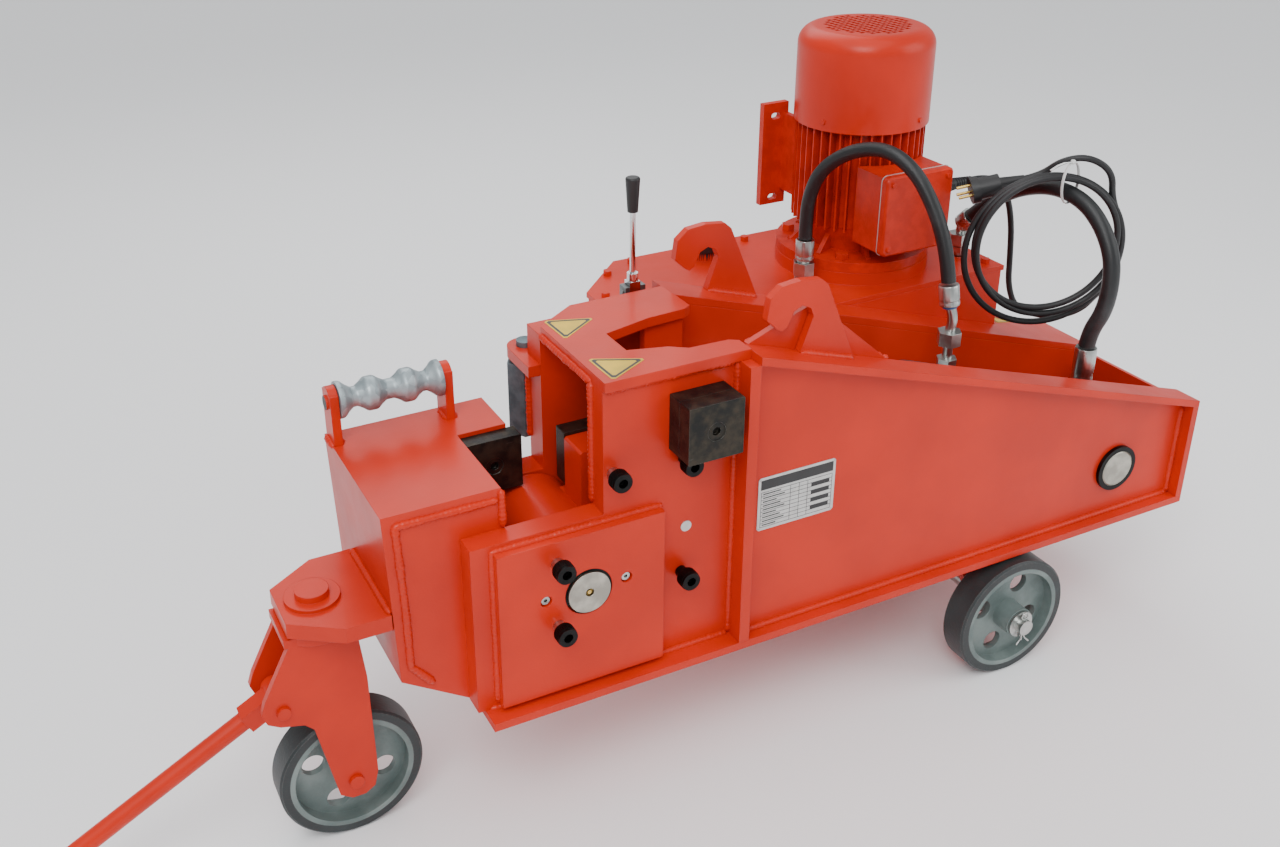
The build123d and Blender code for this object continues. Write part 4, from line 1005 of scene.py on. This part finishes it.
# ---- stickers and the data plate -------------------------------------------------------
STICKER_THICK = 0.35
TOP_FACE = 452.0
TANK_LID = 345.0
TRIANGLES = {
    "near_warning_triangle": ((-199, 95), (-132, 62), (-197, 27)),
    "far_warning_triangle": ((-200, 226), (-134, 203), (-198, 160)),
    "lid_warning_triangle": ((140, 372), (182, 344), (136, 316)),
    "flange_warning_triangle": ((676, 296), (724, 312), (690, 334)),
}


def rest_height(x, y):
    """Height of the top face below a sticker."""
    if x < 0:
        return TOP_FACE
    return top_line(x) if x > TANK[1] else TANK_LID


def sticker_mesh(name, corners, thick):
    """Plain triangle with a dark rim, both a paper's thickness."""
    centre = sum(corners, Vector()) / 3

    def ring(share, lift):
        points = []
        for k in range(3):
            here, before, after = corners[k], corners[k - 1], corners[(k + 1) % 3]
            for neighbour in (before, after):
                cut = here.lerp(neighbour, 0.07)
                points.append(centre.lerp(cut, share) + Vector((0, 0, lift)))
        return points

    yellow = solid_mesh(name, [ring(1.0, 0.0), ring(1.0, thick)])
    yellow.materials.append(FINISHES["sticker"])
    outer, inner = ring(0.90, thick), ring(0.74, thick)
    lift = Vector((0, 0, thick * 0.4))
    count = len(outer)
    points = [tuple(p) for p in outer + inner]
    points += [tuple(p + lift) for p in outer + inner]
    faces = []
    for i in range(count):
        j = (i + 1) % count
        a, b, c, d = i, j, count + j, count + i
        e = 2 * count
        faces += [(a + e, b + e, c + e, d + e), (d, c, b, a), (a, b, b + e, a + e),
                  (c, d, d + e, c + e)]
    rim = bpy.data.meshes.new(name + "_rim")
    rim.from_pydata(points, [], faces)
    rim.materials.append(FINISHES["ink"])
    return joined(name, [yellow, rim])


class CUTTER_OT_stickers(bpy.types.Operator):
    """Plain warning triangles on the column, the tank and the rear flange"""

    bl_idname = "cutter.stickers"
    bl_label = "Stickers"

    def execute(self, context):
        for name, spots in TRIANGLES.items():
            corners = [at(x, y, rest_height(x, y) + 0.05) for x, y in spots]
            if (corners[1] - corners[0]).cross(corners[2] - corners[0]).z < 0:
                corners.reverse()
            add_piece(name, sticker_mesh(name, corners, STICKER_THICK * MM),
                      "frame")
        return {"FINISHED"}


def box_mesh(low, high, material, cut=0.0):
    """Box between two corners, its four upright edges cut back."""
    x0, y0, z0 = low
    x1, y1, z1 = high
    outline = []
    for x, z, sx, sz in ((x0, z0, 1, 1), (x1, z0, -1, 1), (x1, z1, -1, -1), (x0, z1, 1, -1)):
        first, second = (x, z + sz * cut), (x + sx * cut, z)
        if sx != sz:
            first, second = second, first
        outline += [first, second] if cut else [(x, z)]
    rings = [[at(x, y, z) for x, z in outline] for y in (y1, y0)]
    mesh = solid_mesh("box", rings)
    mesh.materials.append(FINISHES[material])
    return mesh


PLATE = (17.0, 142.0, 174.0, 257.0)
PLATE_THICK = 0.9
INK_THICK = 0.12


class CUTTER_OT_data_plate(bpy.types.Operator):
    """Blank rating plate with its ruled table and four rivets"""

    bl_idname = "cutter.data_plate"
    bl_label = "Rating plate"

    def execute(self, context):
        x0, x1, z0, z1 = PLATE
        top = WALL_NEAR_Y - PLATE_THICK
        pieces = [box_mesh((x0, top, z0), (x1, WALL_NEAR_Y - 0.02, z1), "label", 3.0)]

        def mark(a, b, c, d):
            pieces.append(box_mesh((a, top - INK_THICK, c), (b, top - 0.01, d), "ink"))

        mark(x0 + 4, x1 - 4, z1 - 19, z1 - 4)
        rows, first, last = 9, z0 + 5, z1 - 23
        for k in range(rows + 1):
            z = first + (last - first) * k / rows
            mark(x0 + 5, x1 - 5, z - 0.35, z + 0.35)
        for x in (x0 + 5, x0 + 52, x0 + 66, x0 + 80, x1 - 5):
            mark(x - 0.35, x + 0.35, first, last)
        for k in range(rows):
            z = first + (last - first) * (k + 0.5) / rows
            mark(x0 + 8, x0 + 30 + 13 * ((k * 5) % 3) / 2, z - 0.9, z + 0.9)
        for k in (1, 3, 5, 7):
            z = first + (last - first) * (k + 0.5) / rows
            mark(x0 + 86, x1 - 9, z - 3.2, z + 3.2)
        for x in (x0 + 3.2, x1 - 3.2):
            for z in (z0 + 3.2, z1 - 3.2):
                dome = turned("rivet", at(x, top + 0.2, z), (0, -1, 0),
                              [(0, 1.7 * MM), (0.5 * MM, 1.6 * MM), (0.9 * MM, 1.0 * MM),
                               (1.05 * MM, 0.3 * MM)], 14)
                dome.materials.append(FINISHES["zinc"])
                pieces.append(smooth(dome, 50))
        add_piece("rating_plate", joined("rating_plate", pieces), "frame")
        return {"FINISHED"}


# ---- small fittings --------------------------------------------------------------------
def tube_along(name, points, radius, finish, around=10, flat=1.0, across=None):
    """Closed tube along points, its section flattened along its own normal if wanted."""
    rings = []
    last = len(points) - 1
    loop = (points[0] - points[last]).length < 1e-6
    for k, place in enumerate(points):
        before = points[last - 1 if loop and k == 0 else max(k - 1, 0)]
        after = points[1 if loop and k == last else min(k + 1, last)]
        along = (after - before).normalized()
        side = Vector(across).normalized() if across else frame_axes(along)[0]
        up = along.cross(side).normalized()
        rings.append([place + side * radius * cos(2 * pi * i / around)
                      + up * radius * flat * sin(2 * pi * i / around)
                      for i in range(around)])
    mesh = smooth(merged(solid_mesh(name, rings, closed=not loop)), 50)
    mesh.materials.append(FINISHES[finish])
    return mesh


def merged(mesh):
    """The mesh with the points that lie on each other made one."""
    work = bmesh.new()
    work.from_mesh(mesh)
    bmesh.ops.remove_doubles(work, verts=work.verts, dist=1e-6)
    work.to_mesh(mesh)
    work.free()
    return mesh


def finished(mesh, finish, angle=35.0):
    """Mesh with its one material and its smooth shading."""
    mesh.materials.append(FINISHES[finish])
    return smooth(mesh, angle)


def loop_turns(count):
    """Angles round a loop, the first one again at the end."""
    return [2 * pi * (k % count) / count for k in range(count + 1)]


TIE_SHIFT = (0.0, -0.004, -0.0125)
TIE_TURN = radians(12)
TIE_HALVES = (0.0205, 0.0325)


class CUTTER_OT_ties(bpy.types.Operator):
    """White cable tie that holds the coil to the rear hose"""

    bl_idname = "cutter.ties"
    bl_label = "Cable tie"

    def execute(self, context):
        centre = at(*COIL_TOP) + Vector(TIE_SHIFT)
        out = Vector((cos(TIE_TURN), sin(TIE_TURN), 0))
        side = Vector((-sin(TIE_TURN), cos(TIE_TURN), 0))
        half_width, half_height = TIE_HALVES
        band = [centre + out * half_width * cos(turn)
                + Vector((0, 0, half_height * sin(turn))) for turn in loop_turns(40)]
        pieces = [tube_along("band", band, 0.0024, "white", 8, 0.35, side)]
        start = centre + Vector((-0.006, -0.002, 0.0335))
        tail = [start + Vector((-0.016 * k, -0.003 * k, 0.004 * k - 0.0016 * k * k))
                for k in range(4)]
        pieces.append(tube_along("tail", tail, 0.0022, "white", 8, 0.35, side))
        lock = turned("lock", start + Vector((0.004, 0, -0.003)), (0, 0, 1),
                      [(0, 0.0030), (0.001, 0.0036), (0.005, 0.0036), (0.006, 0.0030)], 8)
        pieces.append(finished(lock, "white"))
        add_piece("cable_tie", joined("cable_tie", pieces), "frame")
        return {"FINISHED"}


def crimped(turn):
    """Outline of a pressed sleeve: eight soft flats."""
    return 1.0 + 0.018 * cos(8 * turn)


def sleeve_meshes(start, end, radius):
    """Pressed sleeve over a ferrule and the blue ring behind it, between two places."""
    start, end = at(*start), at(*end)
    axis = end - start
    length = axis.length
    r = radius * MM
    profile = [(0, r * 0.95), (0.001, r), (length * 0.16, r), (length * 0.2, r * 0.965),
               (length * 0.26, r * 0.965), (length * 0.3, r * 1.01),
               (length - 0.0015, r * 1.01), (length, r * 0.97)]
    sleeve = finished(turned("sleeve", start, axis, profile, 64, crimped), "zinc", 25)
    collar = r * 0.72
    blue = turned("blue", start - axis.normalized() * 0.0045, axis,
                  [(0, collar * 0.9), (0.0008, collar), (0.0036, collar),
                   (0.0044, collar * 0.9)], 40)
    return [sleeve, finished(blue, "blue")]


def hose_sleeve(end, before, back, length, radius):
    """Sleeve meshes at a hose's end, set back along its own direction."""
    along = (Vector(before) - Vector(end)).normalized()
    start = Vector(end) - along * back
    return sleeve_meshes(start, start + along * length, radius)


class CUTTER_OT_hose_ends(bpy.types.Operator):
    """Pressed sleeves with their blue rings at the four hose ends"""

    bl_idname = "cutter.hose_ends"
    bl_label = "Hose ends"

    def execute(self, context):
        x, y, _ = PRESSURE_ROUTE[0]
        tank = sleeve_meshes((x, y, 393), (x, y, 426), 14.5)
        tank += hose_sleeve(RETURN_ROUTE[0], RETURN_ROUTE[1], 26, 24.6, 16)
        barrel = hose_sleeve(PRESSURE_ROUTE[-1], PRESSURE_ROUTE[-2], 36, 31.6, 15)
        x, y, _ = RETURN_ROUTE[-1]
        barrel += sleeve_meshes((x, y, 226), (x, y, 283.6), 16)
        for name, meshes, body in (("tank_hose_sleeves", tank, "frame"),
                                   ("barrel_hose_sleeves", barrel, "barrel")):
            add_piece(name, joined(name, meshes), body)
        return {"FINISHED"}


BOOT_START = (546, 302, 500)
BOOT_END = (588, 302, 501.5)


class CUTTER_OT_gland_boot(bpy.types.Operator):
    """Ribbed boot that keeps the cord from kinking at the terminal box"""

    bl_idname = "cutter.gland_boot"
    bl_label = "Cord boot"

    def execute(self, context):
        start, end = at(*BOOT_START), at(*BOOT_END)
        length = (end - start).length
        profile = [(0, 0.0104)]
        ribs = 7
        step = length * 0.84 / ribs
        for k in range(ribs):
            wide = 0.0100 - 0.0036 * k / ribs
            low = length * 0.08 + step * k
            profile += [(low, wide), (low + step * 0.45, wide - 0.0001),
                        (low + step * 0.6, wide - 0.0014), (low + step * 0.9, wide - 0.0014)]
        profile += [(length * 0.95, 0.0064), (length, 0.0057)]
        boot = finished(turned("cord_boot", start, end - start, profile, 32), "cable", 30)
        add_piece("cord_boot", boot, "frame")
        return {"FINISHED"}


def knurl_tree():
    """Geometry Nodes: a ring of flutes round every point, sized by its inputs."""
    tree, given = node_group("screw_knurl", (
        ("Count", "Int"), ("Radius", "Float"), ("Length", "Float"), ("Flute", "Float")))
    new, link = tree.nodes.new, tree.links.new
    flute = new("GeometryNodeMeshCylinder")
    flute.inputs["Vertices"].default_value = 6
    link(given.outputs["Flute"], flute.inputs["Radius"])
    link(given.outputs["Length"], flute.inputs["Depth"])
    ring = new("GeometryNodeMeshCircle")
    link(given.outputs["Count"], ring.inputs["Vertices"])
    link(given.outputs["Radius"], ring.inputs["Radius"])
    round_it = new("GeometryNodeInstanceOnPoints")
    link(ring.outputs["Mesh"], round_it.inputs["Points"])
    link(flute.outputs["Mesh"], round_it.inputs["Instance"])
    place = new("GeometryNodeInstanceOnPoints")
    link(given.outputs["Geometry"], place.inputs["Points"])
    link(round_it.outputs["Instances"], place.inputs["Instance"])
    place.inputs["Rotation"].default_value = (pi / 2, 0, 0)
    end_group(tree, given, place.outputs["Instances"])
    return tree


CHEEK_SCREWS = ((-284, 221), (-284, 125))
COLUMN_SCREWS = ((-197, 320), (-94, 315), (-95, 140))
SCREW_OUT = 30.0
HEAD_LENGTH = 17.0
HEAD_R = 13.0


class CUTTER_OT_knurls(bpy.types.Operator):
    """Knurled rims of the cap screws"""

    bl_idname = "cutter.knurls"
    bl_label = "Screw knurls"

    def execute(self, context):
        heads = []
        for spots, face in ((CHEEK_SCREWS, CHEEK_FACE), (COLUMN_SCREWS, COLUMN_NEAR[0])):
            middle = face - SCREW_OUT + HEAD_LENGTH / 2 + 1.0
            heads += [[(x, middle, z)] for x, z in spots]
        mesh = baked("screw_knurls", line_mesh("heads", heads), knurl_tree(), {
            "Count": context.scene.cutter_detail.knurls, "Radius": HEAD_R * MM,
            "Length": (HEAD_LENGTH - 5) * MM, "Flute": 1.0 * MM,
            "Material": FINISHES["oxide"]})
        add_piece("screw_knurls", mesh, "frame")
        return {"FINISHED"}


EYE_R = 0.0058
EYE_HEIGHT = 0.0185
PIN_INSET = 0.006


class CUTTER_OT_split_pins(bpy.types.Operator):
    """Split pins through the ends of the rear axle"""

    bl_idname = "cutter.split_pins"
    bl_label = "Split pins"

    def execute(self, context):
        low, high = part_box("rear_axle")
        pieces = []
        for y, out in ((low.y + PIN_INSET, -1), (high.y - PIN_INSET, 1)):
            top = Vector((at(REAR_AXLE_X, 0, 0).x, y, at(0, 0, AXLE_Z).z))
            eye = [top + Vector((EYE_R * cos(turn), 0, EYE_HEIGHT + EYE_R * sin(turn)))
                   for turn in loop_turns(20)]
            pieces.append(tube_along("eye", eye, 0.0014, "zinc", 8, 1.0, (0, 1, 0)))
            for side in (-1, 1):
                leg = [top + Vector((side * 0.0011, 0, 0.014)),
                       top + Vector((side * 0.0011, 0, -0.014)),
                       top + Vector((side * 0.004, out * 0.001, -0.022)),
                       top + Vector((side * 0.012, out * 0.002, -0.030))]
                pieces.append(tube_along("leg", leg, 0.0013, "zinc", 8, 1.0, (0, 1, 0)))
        add_piece("split_pins", joined("split_pins", pieces), "frame")
        return {"FINISHED"}


BREATHER = (250, 552)


class CUTTER_OT_breather(bpy.types.Operator):
    """Fluted cap of the tank's breather"""

    bl_idname = "cutter.breather"
    bl_label = "Breather cap"

    def execute(self, context):
        profile = [(0.0165, 0.0262), (0.0175, 0.0268), (0.031, 0.0268), (0.0338, 0.0245),
                   (0.0345, 0.020), (0.0346, 0.012), (0.0338, 0.0105), (0.0338, 0.001)]
        cap = turned("breather_cap", at(*BREATHER, TANK_LID), (0, 0, 1), profile, 144,
                     lambda turn: 1.0 + 0.014 * cos(24 * turn))
        add_piece("breather_cap", finished(cap, "black", 30), "frame")
        return {"FINISHED"}


ROLLER_START = 14.5
ROLLER_LENGTH = 143.0
ROLLER_BORE = 10.6
ROLLER_HALF = ((0, 25.0), (4, 25.0), (20, 13.5), (26, 13.5), (42, 23.0), (50, 23.0),
               (66, 13.5))
ROLLER_STEPS = ROLLER_HALF + tuple((ROLLER_LENGTH - x, r) for x, r in ROLLER_HALF[::-1])
SKIN = 0.3


def roller_radius(place):
    """Radius of the roller's skin at a place along it, with rounded ridges and ends."""
    for (low, first), (high, second) in zip(ROLLER_STEPS, ROLLER_STEPS[1:]):
        if low <= place <= high:
            share = (place - low) / (high - low)
            ease = (1 - cos(pi * share)) / 2
            return first + (second - first) * (min if second < first else max)(share, ease)
    return ROLLER_STEPS[-1][1]


class CUTTER_OT_roller_skin(bpy.types.Operator):
    """Galvanised skin of the bar roller, with its rounded ridges"""

    bl_idname = "cutter.roller_skin"
    bl_label = "Roller skin"

    def execute(self, context):
        steps = 88
        first, last = -SKIN, ROLLER_LENGTH + SKIN
        inner = [ROLLER_LENGTH * k / steps for k in range(1, steps)]
        skin = [(first, ROLLER_STEPS[0][1]), *((x, roller_radius(x)) for x in inner),
                (last, ROLLER_STEPS[-1][1])]
        profile = [(first * MM, ROLLER_BORE * MM),
                   *((x * MM, (r + SKIN) * MM) for x, r in skin),
                   (last * MM, ROLLER_BORE * MM), (first * MM, ROLLER_BORE * MM)]
        start = at(ROLLER[2] + ROLLER_START, ROLLER[0], ROLLER[1])
        mesh = merged(turned("roller_skin", start, (1, 0, 0), profile, 72, closed=False))
        add_piece("roller_skin", finished(mesh, "galvanised", 40), "roller")
        return {"FINISHED"}


class CUTTER_OT_gasket(bpy.types.Operator):
    """Grey gasket between the terminal box and its cover"""

    bl_idname = "cutter.gasket"
    bl_label = "Cover gasket"

    def execute(self, context):
        low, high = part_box("terminal_cover")
        grow, cut, thick = 0.0007, 0.0095, 0.0014
        x0, x1, z0, z1 = low.x - grow, high.x + grow, low.z - grow, high.z + grow
        outline = []
        for x, z, turn in ((x1 - cut, z1 - cut, 0), (x0 + cut, z1 - cut, 1),
                           (x0 + cut, z0 + cut, 2), (x1 - cut, z0 + cut, 3)):
            for k in range(7):
                bend = pi / 2 * (turn + k / 6)
                outline.append((x + cut * cos(bend), z + cut * sin(bend)))
        y = high.y
        rings = [[Vector((a, back, b)) for a, b in outline] for back in (y, y - thick)]
        mesh = finished(solid_mesh("cover_gasket", rings), "label", 30)
        add_piece("cover_gasket", mesh, "frame")
        return {"FINISHED"}


CLASSES = (
    CutterPaint, CutterDetail, CutterStage, CUTTER_OT_stage, CUTTER_OT_cords,
    CUTTER_OT_finishes, CUTTER_OT_welds, CUTTER_OT_stickers, CUTTER_OT_data_plate,
    CUTTER_OT_ties, CUTTER_OT_hose_ends, CUTTER_OT_gland_boot, CUTTER_OT_knurls,
    CUTTER_OT_split_pins, CUTTER_OT_breather, CUTTER_OT_gasket,
    CUTTER_OT_roller_skin,
)


class CUTTER_PT_panel(bpy.types.Panel):
    """Steps of the rebar cutter and their sizes"""

    bl_idname = "CUTTER_PT_panel"
    bl_label = "Rebar Cutter"
    bl_space_type = "VIEW_3D"
    bl_region_type = "UI"
    bl_category = "Rebar Cutter"

    def draw(self, context):
        layout = self.layout
        scene = context.scene
        for group in (scene.cutter_paint, scene.cutter_detail, scene.cutter_stage):
            box = layout.box()
            for name in type(group).__annotations__:
                box.prop(group, name)
        for step in STEPS:
            layout.operator(step)


STEPS = ("cutter.stage", "cutter.cords", "cutter.finishes", "cutter.welds",
         "cutter.stickers", "cutter.data_plate", "cutter.ties", "cutter.hose_ends",
         "cutter.gland_boot", "cutter.knurls", "cutter.split_pins", "cutter.breather",
         "cutter.gasket", "cutter.roller_skin")


def register():
    for kind in (*CLASSES, CUTTER_PT_panel):
        bpy.utils.register_class(kind)
    bpy.types.Scene.cutter_paint = PointerProperty(type=CutterPaint)
    bpy.types.Scene.cutter_detail = PointerProperty(type=CutterDetail)
    bpy.types.Scene.cutter_stage = PointerProperty(type=CutterStage)


def unregister():
    for name in ("cutter_paint", "cutter_detail", "cutter_stage"):
        delattr(bpy.types.Scene, name)
    for kind in reversed((*CLASSES, CUTTER_PT_panel)):
        bpy.utils.unregister_class(kind)


def main():
    register()
    make_finishes(bpy.context.scene.cutter_paint)
    for step in STEPS:
        group, name = step.split(".")
        getattr(getattr(bpy.ops, group), name)()


if __name__ == "__main__":
    main()
